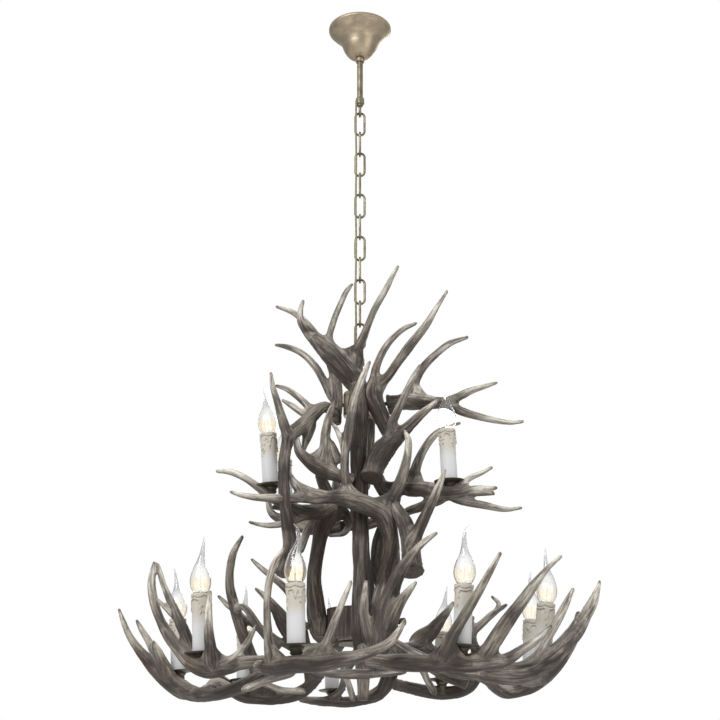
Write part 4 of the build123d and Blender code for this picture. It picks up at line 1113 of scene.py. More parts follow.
    def build(self, material: bpy.types.Material) -> bpy.types.Object:
        """The finished antler: grown skin, pushed in along the grooves and out at the pearls.

        Each point moves along its normal by -depth * groove + height * pearl, where a groove is a
        ridge of noise stretched along the grain, strong on thick beams and gone on the tips, and a
        pearl is the top of a fine round noise near a cut root.
        """
        piece = self.grown(material)
        mesh = piece.data
        count = len(mesh.vertices)
        points = np.zeros(count * 3, np.float32)
        mesh.vertices.foreach_get("co", points)
        normals = np.zeros(count * 3, np.float32)
        mesh.vertex_normals.foreach_get("vector", normals)
        points = points.reshape(-1, 3).astype(float) / MM
        normals = normals.reshape(-1, 3).astype(float)
        grain, along, radius, left, second = self.nearest(points)
        points, normals = self.webbed(mesh, points, eased(second, 2.3, 1.3))
        cut = self.cuts(points, normals)
        stout = eased(radius, 5.5, 12.0)
        coarse = lattice_noise(grain / (4.6, 4.6, 55.0), self.seed)
        fine = lattice_noise(grain / (2.7, 2.7, 34.0) + 31.7, self.seed + 5)
        groove = (1 - np.abs(2 * coarse - 1)) ** 4 + 0.5 * (1 - np.abs(2 * fine - 1)) ** 4
        fork = eased(second, 1.15, 1.9)
        bare = eased(lattice_noise(points / 46.0, self.seed + 21), 0.45, 0.66)
        bare = bare * (1 - 0.5 * stout * (radius > 15))
        groove = np.clip(groove, 0, 1) * stout * (0.45 + 0.55 * fork) * (1 - cut) * (1 - 0.8 * bare)
        pearly = np.exp(-((np.maximum(along, 0) / 55.0) ** 2)) * (1 - cut) * stout
        scattered = 0.35 * eased(lattice_noise(points / 42.0, self.seed + 9), 0.55, 0.8) * stout
        pearl = eased(lattice_noise(points / 4.2, self.seed + 2), 0.5, 0.85)
        pearl = pearl * np.clip(pearly + scattered, 0, 1) * (1 - cut)
        sunk = self.groove_depth * groove * (1 - 0.6 * np.clip(pearly, 0, 1))
        push = self.pearl_height * pearl * 1.5 - sunk
        points = points + normals * push[:, None]
        mesh.vertices.foreach_set("co", (points * MM).astype(np.float32).ravel())
        worn_tip = 1 - eased(left, 20.0, 150.0)
        age = 0.25 * (1 - eased(radius, 8.0, 15.0)) + worn_tip * (1 - eased(radius, 6.0, 12.0))
        values = {
            "grain": grain / (5.0, 5.0, 60.0),
            "age": np.clip(age, 0, 1),
            # Crevice value: the grooves, and the forks between branches as painted shade.
            "crevice": np.clip(groove * 0.9 + (1 - fork) * 0.25, 0, 1) * (1 - 0.5 * worn_tip),
            "cut": cut,
            "nub": eased(left, 13.0, 2.0) * (1 - cut),
            # Painted shade and highlight: the shade value is how far the normal points down; the finish reads
            # it as darker below and lighter above.
            "shade": -normals[:, 2] * (0.55 + 0.45 * self.tone),
            "bare": np.clip(bare + 0.7 * (1 - fork), 0, 1) * (1.1 - 0.6 * self.tone),
            # Tone value: darker on thick parts, scaled by each antler's tone, which is partly its own colour
            # and partly painted shade.
            "tint": np.clip(self.tone * (0.08 + 0.92 * eased(radius, 6.5, 13.5)), 0, 1),
        }
        for tag, value in values.items():
            kind = "FLOAT" if value.ndim == 1 else "FLOAT_VECTOR"
            layer = mesh.attributes.new(tag, kind, "POINT")
            layer.data.foreach_set("value" if kind == "FLOAT" else "vector", value.astype(np.float32).ravel())
        mesh.shade_smooth()
        mesh.update()
        return piece


@dataclass
class AntlerFrame:
    """All the antlers of the chandelier."""

    tables: dict[str, list]
    body: str = "chandelier"

    def build(self, material: bpy.types.Material) -> None:
        """Grows each antler in place of its CAD node."""
        for number, (name, branches) in enumerate(self.tables.items()):
            lifted = [[(x, y, z + HANG_Z, r) for x, y, z, r in branch] for branch in branches]
            grown = [Branch.of(branch, main=index == 0) for index, branch in enumerate(lifted)]
            antler = Antler(f"{name}_skin", grown, seed=3 + 7 * number, tone=TONES.get(name, 0.5))
            settle(antler.build(material), self.body, Slot.ANTLER, name)


# ---- Candle lights ----
@dataclass
class CandleLights:
    """The twelve candle lights: each shape is drawn once on its own axis, then set on every seat."""

    seats: list[tuple[float, float, float, float, float]]
    bends: list[tuple[float, float, float, float]]
    glows: list[float]
    body: str = "chandelier"
    cup_r: float = 30.0
    cup_depth: float = 3.2
    cup_wall: float = 1.6
    stem_r: float = 13.5
    stem_length: float = 26.0
    sleeve_r: float = 15.9
    sleeve_wall: float = 1.6
    sleeve_length: float = 103.0
    bulb_r: float = 19.0
    bulb_length: float = 101.0
    bulb_wall: float = 1.0
    sides: int = 48

    @property
    def sleeve_head(self) -> float:
        """Height of the sleeve's rim above the cup's underside."""
        return self.cup_wall + self.sleeve_length

    def seat_frames(self) -> list[tuple[np.ndarray, np.ndarray]]:
        """For each seat: the axes as columns of a matrix, with Z along the candle, and its origin."""
        frames = []
        for x, y, z, lean_x, lean_y in self.seats:
            up = np.array([lean_x, lean_y, 100.0])
            up = up / np.linalg.norm(up)
            right = np.array([1.0, 0.0, -lean_x / 100.0])
            right = right - up * right.dot(up)
            right = right / np.linalg.norm(right)
            frames.append((np.stack([right, np.cross(up, right), up], axis=1), np.array([x, y, z + HANG_Z])))
        return frames

    def on_seats(self, shells: list[Shell]) -> Shell:
        """One shell of twelve, each moved to its seat."""
        return Shell.joined([shell.moved(*frame) for shell, frame in zip(shells, self.seat_frames())])

    def cup(self) -> Shell:
        """A shallow dish with a rolled rim, and a raised ring where the sleeve stands."""
        top = self.cup_depth + self.cup_wall
        foot, r, deep, wall = self.cup_r * 0.55, self.cup_r, self.cup_depth, self.cup_wall
        profile = [
            (0.01, 0), (foot * 0.8, 0), (foot, 0.3), (foot + 4, 2.0), (r - 4, deep - 1.2),
            (r - 0.8, deep + 0.1), (r, deep + 0.9), (r - 0.5, top), (r - 1.6, top - 0.2), (r - 5, deep - 0.2),
            (foot + 3, wall + 1.6), (foot + 0.6, wall + 0.9), (foot, wall + 1.3), (foot - 0.8, wall + 0.9),
            (foot - 1.3, wall), (0.01, wall),
        ]
        return lathe(profile, self.sides)

    def stem(self) -> Shell:
        """The turned stub under a cup, with a waist and two beads."""
        r, low = self.stem_r, -self.stem_length
        profile = [
            (0.01, low), (r * 0.72, low), (r * 0.78, low + 1), (r * 0.7, low + 5), (r * 0.62, low + 9),
            (r * 0.62, low + 13), (r * 0.78, low + 15), (r * 0.84, low + 16.5), (r * 0.78, low + 18),
            (r * 0.72, low + 19), (r * 0.86, low + 22), (r, low + 24.2), (r, low + 25.4),
            (r * 0.97, -0.05), (0.01, -0.05),
        ]
        return lathe(profile, self.sides)

    def sleeve(self, seed: int) -> Shell:
        """A sleeve with melted wax drawn on its upper part.

        The outside is r + wax(a, z), where the wax is a thin coat that ends below in a drip line:
        drip(a) = shallow scallops plus a few long narrow runs that end in a drop.
        """
        sides, rows = 72, 96
        angle = np.linspace(0, 2 * math.pi, sides, endpoint=False)
        depth = np.linspace(0, self.sleeve_length, rows)
        rng = np.random.default_rng(seed)
        scallop = 10.5 + 3.0 * np.abs(np.sin(angle * 2.5 + rng.uniform(0, 6)))
        run = np.zeros(sides)
        crest = np.zeros(sides)
        for turn in rng.uniform(0, 2 * math.pi, 6):
            apart = np.abs((angle - turn + math.pi) % (2 * math.pi) - math.pi)
            narrow = np.exp(-((apart / 0.17) ** 2))
            run = np.maximum(run, narrow * rng.uniform(10, 34))
            crest = np.maximum(crest, narrow)
        edge = scallop + run
        gap = edge[None, :] - depth[:, None]
        coat = 1.25 * eased(gap, -1.0, 1.2)
        bead = 1.1 * np.exp(-((gap - 2.2) / 2.2) ** 2) * (0.35 + 0.65 * crest)
        arch = depth[:, None] - (scallop[None, :] - 5.0)
        groove = 1.3 * np.exp(-(arch / 1.1) ** 2)
        radius = self.sleeve_r - 0.35 + coat + bead - groove
        radius[0] = self.sleeve_r - 0.5
        ring = np.stack([np.cos(angle), np.sin(angle)], axis=1)
        height = self.sleeve_head - depth
        level = np.broadcast_to(height[:, None, None], (rows, sides, 1))
        outside = np.concatenate([radius[:, :, None] * ring[None], level], axis=2)[::-1]
        inner_r = self.sleeve_r - self.sleeve_wall
        inside = np.stack([
            np.column_stack([inner_r * ring, np.full(sides, z)])
            for z in (self.sleeve_head, self.sleeve_head - 6, self.cup_wall)
        ])
        points = np.concatenate([outside, inside])
        wax = np.concatenate([eased(1 - depth / self.sleeve_length, 0.42, 0.70)[::-1], [1, 1, 0.5]])
        # Painted shade: a value that is 1 along each drip's edge and in the groove above it, where the finish
        # darkens the sleeve.
        line = np.exp(-(gap**2)) + 0.9 * np.exp(-((arch / 0.9) ** 2))
        crease_shade = np.concatenate([np.clip(line * 1.5, 0, 1)[::-1], np.zeros((3, sides))])
        tags = {"wax": np.repeat(wax, sides), "crease_shade": crease_shade.ravel()}
        return Shell(points.reshape(-1, 3), grid_quads(len(points), sides, True), tags)

    def flame_line(self, bend: tuple[float, float, float, float]) -> tuple[Line, np.ndarray]:
        """The bulb's bent axis and its radius: a round body, drawn out above into a thin tail."""
        outline = np.array([
            (0.0, 0.60), (0.02, 0.68), (0.06, 0.82), (0.12, 0.95), (0.18, 1.0), (0.25, 0.99), (0.32, 0.91),
            (0.40, 0.76), (0.48, 0.57), (0.56, 0.40), (0.64, 0.28), (0.74, 0.20), (0.84, 0.145), (0.93, 0.10),
            (0.985, 0.06), (1.0, 0.01),
        ])
        t = np.linspace(0, 1, 72) ** 0.97
        radius = np.interp(t, outline[:, 0], outline[:, 1])
        kernel = np.array([1, 3, 4, 3, 1]) / 12.0
        radius[2:-2] = np.convolve(radius, kernel, mode="valid")
        bent_from = 0.45
        shift = np.zeros((len(t), 2))
        for column, (quarter, tip) in enumerate(((bend[0], bend[1]), (bend[2], bend[3]))):
            fit = np.polyfit([bent_from, 0.5, 0.75, 1.0], [0.0, 0.15 * quarter, quarter, tip], 3)
            shift[:, column] = np.where(t > bent_from, np.polyval(fit, t), 0.0)
        places = np.column_stack([shift, self.sleeve_head + t * self.bulb_length])
        return Line.through(places), radius * self.bulb_r

    def bulb(self, bend: tuple[float, float, float, float], glow: float) -> Shell:
        """A glass shell: the outer skin, and an inner one a wall's thickness inside.

        Its glow value, which paints the filament's light onto the glass, is a bell over the height, centred on
        the filament; its tail value rises from 0 on the body to 1 on the drawn-out top.
        """
        line, radius = self.flame_line(bend)
        outer = line.tube(radius, 40)
        keep = slice(1, -7)
        inner_line = Line.through(line.places[keep])
        inner = inner_line.tube(np.maximum(radius[keep] - self.bulb_wall, 0.3), 40)
        flipped = Shell(inner.points, inner.quads[:, ::-1])
        shell = Shell.joined([outer, flipped])
        low = (shell.points[:, 2] - self.sleeve_head) / self.bulb_length
        tags = {"glow": glow * np.exp(-(((low - 0.15) / 0.13) ** 2)), "tail": eased(low, 0.42, 0.62)}
        return Shell(shell.points, shell.quads, tags)

    def filament(self, glow: float) -> Shell:
        """A glass-carried loop: a hairpin wire with a coiled top, round a thin stem."""
        base = self.sleeve_head + 5.0
        height = 30.0
        t = np.linspace(0, 1, 90)
        wide = 5.2 * np.sin(math.pi * t) ** 0.6
        coil = np.where((t > 0.3) & (t < 0.7), 0.8, 0.0)
        x = -np.cos(math.pi * t) * (2.2 + wide * 0.45) + coil * np.cos(t * 220)
        y = coil * np.sin(t * 220)
        z = base + height * np.sin(math.pi * t) ** 0.8
        shell = Line.through(np.column_stack([x, y, z])).tube(np.full(len(t), 0.42), 8)
        return Shell(shell.points, shell.quads, {"glow": np.full(len(shell.points), glow)})

    def mount(self) -> Shell:
        """The glass stem that carries the filament inside the bulb."""
        base = self.sleeve_head
        profile = [(0.01, 0.5), (5.0, 0.5), (3.4, 4), (2.2, 9), (1.6, 15), (2.0, 16.5), (0.01, 17.5)]
        return lathe(np.array(profile) + (0, base), 20)

    def holder(self) -> Shell:
        """The lamp holder inside a sleeve, with its thread mouth and its pipe."""
        top, low = self.sleeve_head - 0.3, self.sleeve_head - 34.3
        profile = [
            (5.0, self.cup_wall + 0.2), (5.0, low), (12.4, low), (13.1, low + 1), (13.1, top - 0.8),
            (12.6, top), (8.0, top), (7.4, top - 0.6), (7.4, top - 22), (0.01, top - 22),
            (0.01, self.cup_wall + 0.2),
        ]
        return lathe(profile, 32)

    def cap(self) -> Shell:
        """The bulb's screw cap: r = 6.25 + 0.5 cos of the thread's turns."""
        z = np.linspace(0, 23.5, 80)
        radius = 6.25 + 0.5 * np.cos(z * 2 * math.pi / 2.8) * eased(z, 3, 5)
        tip, rim = [(0.01, -0.5), (2.4, -0.5), (2.8, 0.6), (4.8, 1.0)], [(6.6, 23.6), (0.01, 23.6)]
        profile = np.array([*tip, *zip(radius[8:], z[8:]), *rim])
        return lathe(profile + (0, self.sleeve_head - 23.9), 24)

    def build(self, finish: dict[Slot, bpy.types.Material]) -> None:
        """Makes each kind of shape on every seat, in place of its CAD node."""
        count = len(self.seats)
        flames = [self.bulb(bend, glow) for bend, glow in zip(self.bends, self.glows)]
        sleeves = [self.sleeve(40 + seat) for seat in range(count)]
        wires = [self.filament(glow) for glow in self.glows]
        kinds = [
            ("drip_cup_dishes", [self.cup()] * count, Slot.DARK_BRONZE, 40.0, ["drip_cups"]),
            ("cup_stem_stubs", [self.stem()] * count, Slot.DARK_BRONZE, 40.0, ["cup_stems"]),
            ("waxed_sleeves", sleeves, Slot.SLEEVE, 70.0, ["candle_sleeves"]),
            ("holder_shells", [self.holder()] * count, Slot.HOLDER, 40.0, ["lamp_holders"]),
            ("screw_caps", [self.cap()] * count, Slot.CAP, 60.0, ["bulb_caps"]),
            ("flame_glasses", flames, Slot.GLASS, 180.0, ["bulb_glasses"]),
            ("filament_wires", wires, Slot.FILAMENT, 180.0, ["bulb_filaments"]),
            ("filament_stems", [self.mount()] * count, Slot.GLASS, 180.0, []),
        ]
        for name, shells, slot, sharp_deg, nodes in kinds:
            piece = piece_of(name, self.on_seats(shells), finish[slot], sharp_deg, lined=shells is flames)
            settle(piece, self.body, slot, *nodes)


# ---- Hanging: bracket, rod, canopy, chain and cord ----
@dataclass
class Hanging:
    """Everything from the ceiling down to the body's top ring."""

    rod_r: float = 6.5
    rod_top: float = -4.0
    rod_bottom: float = -178.0
    canopy_r: float = 70.0
    canopy_top: float = -0.6
    canopy_bottom: float = -77.6
    neck_r: float = 12.0
    wall: float = 1.6
    wire_r: float = 2.5
    link_length: float = 60.0
    link_width: float = 25.0
    link_count: int = 11
    first_top: float = -215.7
    pitch: float = 49.7
    ring_r: float = 11.0
    ring_wire: float = 3.0
    fitting_r: float = 9.5
    fitting_height: float = 20.0
    lower_fitting_top: float = -785.4
    cord_r: float = 2.2
    cord_side: float = -8.6
    cord_front: float = -5.6

    def canopy(self) -> Shell:
        """A bell: a rolled rim, a flare that sweeps in, and a round bowl that closes on the neck."""
        top, low, r, neck = self.canopy_top, self.canopy_bottom, self.canopy_r, self.neck_r
        line = np.array([
            (neck - 3.5, 0, low), (neck, 0, low + 0.2), (16.4, 0, low + 1.7), (20.6, 0, low + 3.9),
            (27.6, 0, low + 10), (33.2, 0, low + 17.6), (37.3, 0, low + 26.1), (40.4, 0, low + 35),
            (44.4, 0, low + 43.5), (50.3, 0, low + 50.8), (57.1, 0, low + 57.5), (63.6, 0, low + 64.0),
            (r - 3, 0, low + 68.5),
        ])
        side = smooth_through(line, 1.5)[:, [0, 2]]
        rim = np.array([
            (r - 1.6, low + 70.2), (r - 0.4, low + 70.8), (r, low + 71.8), (r, top - 0.8), (r - 0.6, top),
            (r - 2.2, top),
        ])
        outside = np.concatenate([side, rim])
        inside = np.concatenate([side, rim[:2]])[::-1] - (self.wall, 0) + (0, self.wall * 0.6)
        bore = [(self.rod_r + 0.5, low + self.wall), (self.rod_r + 0.5, low)]
        return lathe(np.concatenate([outside, inside[:-4], bore]), 128)

    def collar(self) -> Shell:
        """The knurled collar that holds the canopy up on the rod."""
        top, low = self.canopy_bottom - 0.05, self.canopy_bottom - 9.0
        inner = self.rod_r + 0.3
        profile = [
            (inner, top), (inner, low), (9.0, low), (10.0, low + 1.2), (10.0, top - 1.2), (9.2, top - 0.3),
            (9.2, top),
        ]
        return lathe(profile[::-1], 64)

    def link(self, index: int) -> Shell:
        """A chain link: round wire along two straights and two half circles, with a welded seam."""
        half = self.link_width / 2 - self.wire_r
        inner = self.link_length - 2 * self.wire_r
        straight = inner / 2 - half
        bow = np.linspace(0, math.pi, 28)
        run = np.linspace(-straight, straight, 18)[1:-1]
        right = np.column_stack([np.full(len(run), half), np.zeros(len(run)), run])
        top = np.column_stack([half * np.cos(bow), np.zeros(len(bow)), straight + half * np.sin(bow)])
        path = np.concatenate([right, top, right * (-1, 1, -1), top * (-1, 1, -1)])
        seam = np.exp(-((path[:, 2] / 1.3) ** 2)) * (path[:, 0] > 0)
        shell = Line.through(path, closed=True).tube(self.wire_r + 0.35 * seam, 18, closed=True)
        turn = 0 if index % 2 == 0 else 90
        spin = np.array(Matrix.Rotation(math.radians(turn), 3, "Z"))
        return shell.moved(spin, np.array([0, 0, self.first_top - index * self.pitch - inner / 2]))

    def eye(self, up: bool) -> Shell:
        """A ring on a turned fitting; `up` says that the ring stands above it."""
        bow = np.linspace(0, 2 * math.pi, 64, endpoint=False)
        sign = 1 if up else -1
        base = self.lower_fitting_top if up else self.rod_bottom - self.fitting_height
        middle = base + sign * (self.ring_r + self.ring_wire * 0.5)
        y, z = self.ring_r * np.cos(bow), middle + self.ring_r * np.sin(bow)
        path = np.column_stack([np.zeros(len(bow)), y, z])
        ring = Line.through(path, closed=True).tube(np.full(len(bow), self.ring_wire), 20, closed=True)
        r, tall = self.fitting_r, self.fitting_height
        steps = np.array([
            (0.01, 0), (r * 0.66, 0), (r * 0.72, -0.8), (r * 0.72, -2.6), (r * 0.86, -3.4), (r, -5.0),
            (r, -9.0), (r * 0.9, -9.8), (r * 0.9, -10.6), (r, -11.4), (r, -17.6), (r * 0.93, -19.2),
            (r * 0.8, -tall + 0.05), (0.01, -tall + 0.05),
        ]) * (1, sign)
        fitting = lathe(steps + (0, base), 48)
        return Shell.joined([ring, fitting])

    def rod(self) -> Shell:
        """The hanging rod, with a thread at its top: r = rod_r - 0.3 (1 + cos) along the thread."""
        z = np.linspace(self.rod_bottom, self.rod_top - 0.1, 420)
        thread = eased(z, self.rod_top - 24, self.rod_top - 22)
        radius = self.rod_r - 0.3 * thread * (1 + np.cos(z * 2 * math.pi / 1.4))
        bore = 4.5
        side = np.column_stack([radius, z])
        profile = np.concatenate([[(bore, z[0])], side, [(bore, z[-1])], [(bore, z[0])]])
        return lathe(profile, 36)

    def cord_path(self, high: float, low: float) -> np.ndarray:
        """The cord's centre line between two heights, with a slight wander."""
        z = np.linspace(high, low, 26)
        x = self.cord_side + 0.5 * np.sin(z / 31.0)
        y = self.cord_front + 0.5 * np.cos(z / 27.0)
        return np.column_stack([x, y, z])

    def cord_part(self, path: np.ndarray) -> Shell:
        """A length of the twisted-cover supply cord: r (1 + 0.05 cos(2a - twist))."""
        sides = 20
        angle = np.linspace(0, 2 * math.pi, sides, endpoint=False)
        twist = 0.05 * np.cos(2 * (angle[None, :] - path[:, 2:] / 5.0))
        return Line.through(path).tube(self.cord_r * 0.95 * (1 + twist), sides)

    def cord(self, material: bpy.types.Material) -> None:
        """The supply cord, one length for each chain joint."""
        joints = [-221.5] + [self.first_top - 5 - 50 - self.pitch * i for i in range(self.link_count)]
        middles = [self.first_top - 27.5 - self.pitch * i for i in range(self.link_count)]
        ends = [self.rod_bottom - 10, *middles, self.lower_fitting_top - 10]
        for number, joint in enumerate(joints):
            high, low = ends[number], ends[number + 1]
            places = self.cord_path(high, low)
            part = piece_of(f"supply_cord_{number + 1:02d}", self.cord_part(places), material, 180)
            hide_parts("supply_cord")
            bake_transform(part)

    def build(self, finish: dict[Slot, bpy.types.Material]) -> None:
        """Makes the canopy, rod, eyes, links and cord."""
        pieces = [
            ("canopy_bell", self.canopy(), Slot.ANTIQUE_BRASS, 50.0, "canopy_body", "canopy"),
            ("canopy_lock_collar", self.collar(), Slot.ANTIQUE_BRASS, 40.0, "canopy_body", "canopy_collar"),
            ("threaded_rod", self.rod(), Slot.CHAIN_BRASS, 40.0, "ceiling_mount", "hanging_rod"),
            ("upper_ring", self.eye(False), Slot.CHAIN_BRASS, 40.0, "ceiling_mount", "hanging_eye"),
            ("lower_ring", self.eye(True), Slot.CHAIN_BRASS, 40.0, "chandelier", "body_eye"),
        ]
        for name, shell, slot, sharp_deg, body, node in pieces:
            settle(piece_of(name, shell, finish[slot], sharp_deg), body, slot, node)
        for index in range(self.link_count):
            name = f"{index + 1:02d}"
            settle(
                piece_of(f"welded_link_{name}", self.link(index), finish[Slot.CHAIN_BRASS], 180),
                f"link_{name}", Slot.CHAIN_BRASS, f"chain_link_{name}",
            )
        self.cord(finish[Slot.CORD])


# ---- Column: tube, hubs and finial ----
@dataclass
class Column:
    """The centre tube with its two hubs, the cap and the finial."""

    tube_r: float = 6.5
    upper_r: float = 34.0
    upper_top: float = -863.9
    upper_bottom: float = -914.9
    lower_r: float = 65.0
    lower_top: float = -1302.9
    lower_bottom: float = -1364.9
    cap_r: float = 48.0
    cap_height: float = 8.0
    finial_top: float = -1374.9
    finial_r: float = 11.0
    finial_height: float = 22.0
    body: str = "chandelier"

    def tube(self) -> Shell:
        """The tube between the body's eye and the finial."""
        top, low, inner = -805.4, self.finial_top, self.tube_r - 1.5
        return lathe([(inner, low), (self.tube_r, low), (self.tube_r, top), (inner, top), (inner, low)], 40)

    def upper_drum(self) -> Shell:
        """The upper hub: a drum with rounded edges, two fine rings and a washer above."""
        r, top, low = self.upper_r, self.upper_top, self.upper_bottom
        profile = [
            (self.tube_r + 0.1, low), (r - 4, low), (r - 1.2, low + 1), (r, low + 3.6), (r, low + 9),
            (r - 0.9, low + 9.8), (r, low + 10.6), (r, top - 10.6), (r - 0.9, top - 9.8), (r, top - 9),
            (r, top - 3.6), (r - 1.2, top - 1), (r - 4, top), (self.tube_r + 0.1, top),
            (self.tube_r + 0.1, low),
        ]
        return lathe(profile, 96)

    def lower_drum(self) -> Shell:
        """The lower hub: a drum whose side is carved in upright grooves of uneven depth and width."""
        sides, rows = 432, 40
        angle = np.linspace(0, 2 * math.pi, sides, endpoint=False)
        share = np.linspace(0, 1, rows)
        z = self.lower_bottom + share * (self.lower_top - self.lower_bottom)
        x, y = np.cos(angle), np.sin(angle)
        ring = np.stack(np.broadcast_arrays(x[None] * 21, y[None] * 21, share[:, None] * 1.6), axis=2)
        rough = lattice_noise(ring.reshape(-1, 3), 77).reshape(rows, sides)
        reed = np.abs(np.sin(angle * 36 / 2))[None, :]
        edge = eased(share, 0.0, 0.08) * eased(1 - share, 0.0, 0.08)
        radius = self.lower_r - 0.4 - (2.4 * (1 - reed) + 1.6 * rough) * edge[:, None]
        side = np.stack(np.broadcast_arrays(radius * x, radius * y, z[:, None]), axis=2)
        bore = self.tube_r + 0.1
        low = np.column_stack([bore * x, bore * y, np.full(sides, z[0])])
        top = low + (0, 0, z[-1] - z[0])
        points = np.concatenate([low[None], side, top[None]])
        return Shell(points.reshape(-1, 3), grid_quads(len(points), sides, True))

    def cap(self) -> Shell:
        """The stepped plate under the lower hub."""
        top, low, r = self.lower_bottom - 0.05, self.lower_bottom - self.cap_height, self.cap_r
        profile = [
            (self.tube_r + 0.1, low), (r * 0.45, low), (r * 0.5, low + 1.5), (r * 0.86, low + 3),
            (r - 1, low + 4), (r, low + 5.2), (r, top - 0.6), (r - 0.6, top), (self.tube_r + 0.1, top),
            (self.tube_r + 0.1, low),
        ]
        return lathe(profile, 96)

    def finial(self) -> Shell:
        """The turned knob that closes the column from below."""
        r, top = self.finial_r, self.finial_top
        low = top - self.finial_height
        profile = [
            (0.01, low), (r * 0.18, low + 0.4), (r * 0.34, low + 2), (r * 0.3, low + 4), (r * 0.55, low + 6.5),
            (r * 0.85, low + 10), (r, low + 14), (r * 0.9, low + 18), (r * 0.62, top - 3), (r * 0.8, top - 2),
            (r * 0.8, top - 0.05), (0.01, top - 0.05),
        ]
        return lathe(profile, 48)

    def build(self, finish: dict[Slot, bpy.types.Material]) -> None:
        """Makes the column's pieces in place of their CAD nodes."""
        pieces = [
            ("column_tube", self.tube(), Slot.CHAIN_BRASS, 40.0, "centre_tube"),
            ("upper_hub_drum", self.upper_drum(), Slot.ANTIQUE_BRASS, 50.0, "upper_hub"),
            ("lower_hub_drum", self.lower_drum(), Slot.DARK_WOOD, 60.0, "lower_hub"),
            ("lower_hub_plate", self.cap(), Slot.DARK_BRONZE, 40.0, "lower_hub_cap"),
            ("finial_knob", self.finial(), Slot.DARK_BRONZE, 60.0, "bottom_finial"),
        ]
        for name, shell, slot, sharp_deg, node in pieces:
            settle(piece_of(name, shell, finish[slot], sharp_deg), self.body, slot, node)


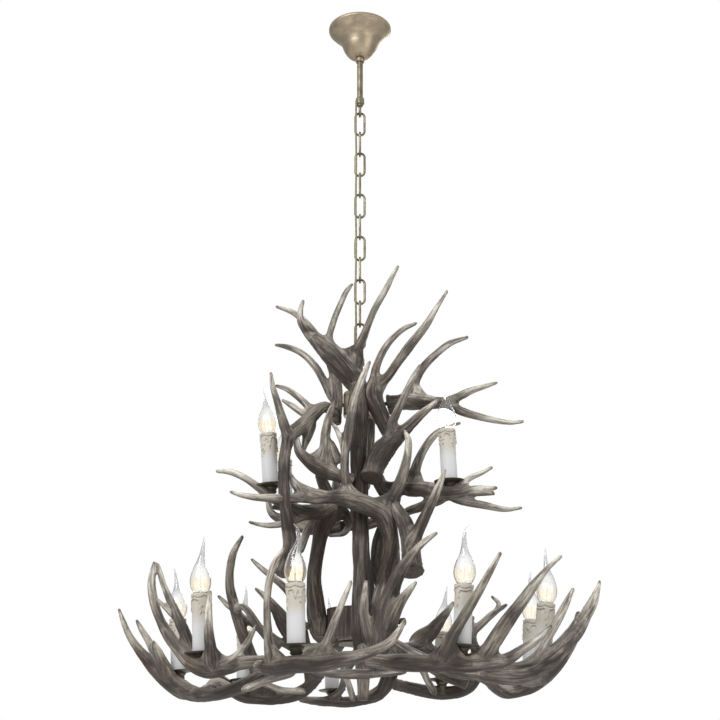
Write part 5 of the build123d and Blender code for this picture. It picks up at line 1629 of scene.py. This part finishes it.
# ---- Studio ----
@dataclass
class Studio:
    """The camera, lamps, white surroundings and the pale floor."""

    lens_mm: float = 63.5
    sensor_mm: float = 36.0
    tilt_deg: float = 18.915
    eye: tuple[float, float, float] = (0.0, -2.480, -1.642)
    floor_z: float = -1.95
    sky: tuple[float, float, float] = (0.86, 0.86, 0.87)
    ground: tuple[float, float, float] = (0.07, 0.068, 0.066)

    def camera(self) -> None:
        """The camera at the photograph's place, looking up by its tilt."""
        lens = bpy.data.cameras.new("camera")
        lens.lens = self.lens_mm
        lens.sensor_width = self.sensor_mm
        lens.clip_end = 50
        camera = bpy.data.objects.new("camera", lens)
        camera.location = self.eye
        camera.rotation_euler = (math.radians(90 + self.tilt_deg), 0, 0)
        bpy.context.scene.collection.objects.link(camera)
        bpy.context.scene.camera = camera

    def lamp(
        self,
        name: str,
        place: tuple[float, float, float],
        target: tuple[float, float, float],
        size: float,
        power: float,
    ) -> None:
        """A soft square lamp that faces its target."""
        light = bpy.data.lights.new(name, "AREA")
        light.size = size
        light.energy = power
        lamp = bpy.data.objects.new(name, light)
        lamp.location = place
        lamp.rotation_euler = (Vector(target) - Vector(place)).to_track_quat("-Z", "Y").to_euler()
        bpy.context.scene.collection.objects.link(lamp)

    def world(self) -> None:
        """White where the camera looks, also through glass; as light, bright above and dim below."""
        world = bpy.data.worlds.new("studio")
        bpy.context.scene.world = world
        world.use_nodes = True
        tree = world.node_tree
        back = tree.nodes["Background"]
        place = tree.nodes.new("ShaderNodeTexCoord")
        split = tree.nodes.new("ShaderNodeSeparateXYZ")
        tree.links.new(place.outputs["Generated"], split.inputs[0])
        ramp = tree.nodes.new("ShaderNodeValToRGB")
        ramp.color_ramp.elements[0].position = 0.30
        ramp.color_ramp.elements[0].color = (*self.ground, 1)
        ramp.color_ramp.elements[1].position = 0.75
        ramp.color_ramp.elements[1].color = (*self.sky, 1)
        lift = tree.nodes.new("ShaderNodeMath")
        lift.operation = "MULTIPLY_ADD"
        lift.inputs[1].default_value = 0.5
        lift.inputs[2].default_value = 0.5
        tree.links.new(split.outputs["Z"], lift.inputs[0])
        tree.links.new(lift.outputs[0], ramp.inputs["Fac"])
        path = tree.nodes.new("ShaderNodeLightPath")
        either = tree.nodes.new("ShaderNodeMath")
        either.operation = "MAXIMUM"
        tree.links.new(path.outputs["Is Camera Ray"], either.inputs[0])
        tree.links.new(path.outputs["Is Transmission Ray"], either.inputs[1])
        mix = tree.nodes.new("ShaderNodeMix")
        mix.data_type = "RGBA"
        tree.links.new(either.outputs[0], mix.inputs[0])
        tree.links.new(ramp.outputs["Color"], mix.inputs[6])
        mix.inputs[7].default_value = (1, 1, 1, 1)
        tree.links.new(mix.outputs[2], back.inputs["Color"])

    def floor(self) -> None:
        """A pale floor well below the ring."""
        mesh = bpy.data.meshes.new("floor")
        half = 8.0
        sides = ((-half, -half), (half, -half), (half, half), (-half, half))
        corners = [(x, y, self.floor_z) for x, y in sides]
        mesh.from_pydata(corners, [], [(0, 1, 2, 3)])
        graph = Graph.named("floor").constant(Base_Color=(0.82, 0.82, 0.82, 1), Roughness=0.9)
        mesh.materials.append(graph.material)
        floor = bpy.data.objects.new("floor", mesh)
        bpy.context.scene.collection.objects.link(floor)

    def build(self) -> None:
        """Sets the stage and the view transform."""
        bpy.context.scene.view_settings.view_transform = "Standard"
        self.camera()
        self.world()
        self.floor()
        middle = (0.0, 0.0, -1.2)
        self.lamp("key", (-1.6, -2.4, 0.6), middle, 1.6, 62)
        self.lamp("fill", (2.4, -2.0, -0.6), middle, 2.0, 22)
        self.lamp("rim", (0.6, 2.4, 0.2), middle, 1.6, 34)


def dress_small_parts(nodes: dict[str, bpy.types.Object], finish: dict[Slot, bpy.types.Material]) -> None:
    """Gives the carried-over CAD parts their finishes.

    Args:
        nodes: The frame's CAD objects by name.
        finish: The finishes by slot.
    """
    worn = {
        Slot.STEEL: ["ceiling_bracket", "rod_nut", "canopy_grub_screw"],
        Slot.TERMINAL: ["terminal_block"],
        Slot.DARK_BRONZE: ["hub_bolts", "antler_screws"],
    }
    for slot, names in worn.items():
        for name in names:
            materials = nodes[name].data.materials
            materials.clear()
            materials.append(finish[slot])
            log.info("%s dressed as %s", name, slot.value)


def main() -> None:
    """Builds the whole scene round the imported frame."""
    logging.basicConfig(level=logging.INFO, format="%(message)s", force=True)
    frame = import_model()
    Studio().build()
    finish = finishes()
    Hanging().build(finish)
    Column().build(finish)
    CandleLights(CANDLE_SEATS, TIP_BENDS, GLOWS).build(finish)
    AntlerFrame(ANTLERS).build(finish[Slot.ANTLER])
    dress_small_parts(frame["nodes"], finish)
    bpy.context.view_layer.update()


if __name__ == "__main__":
    main()
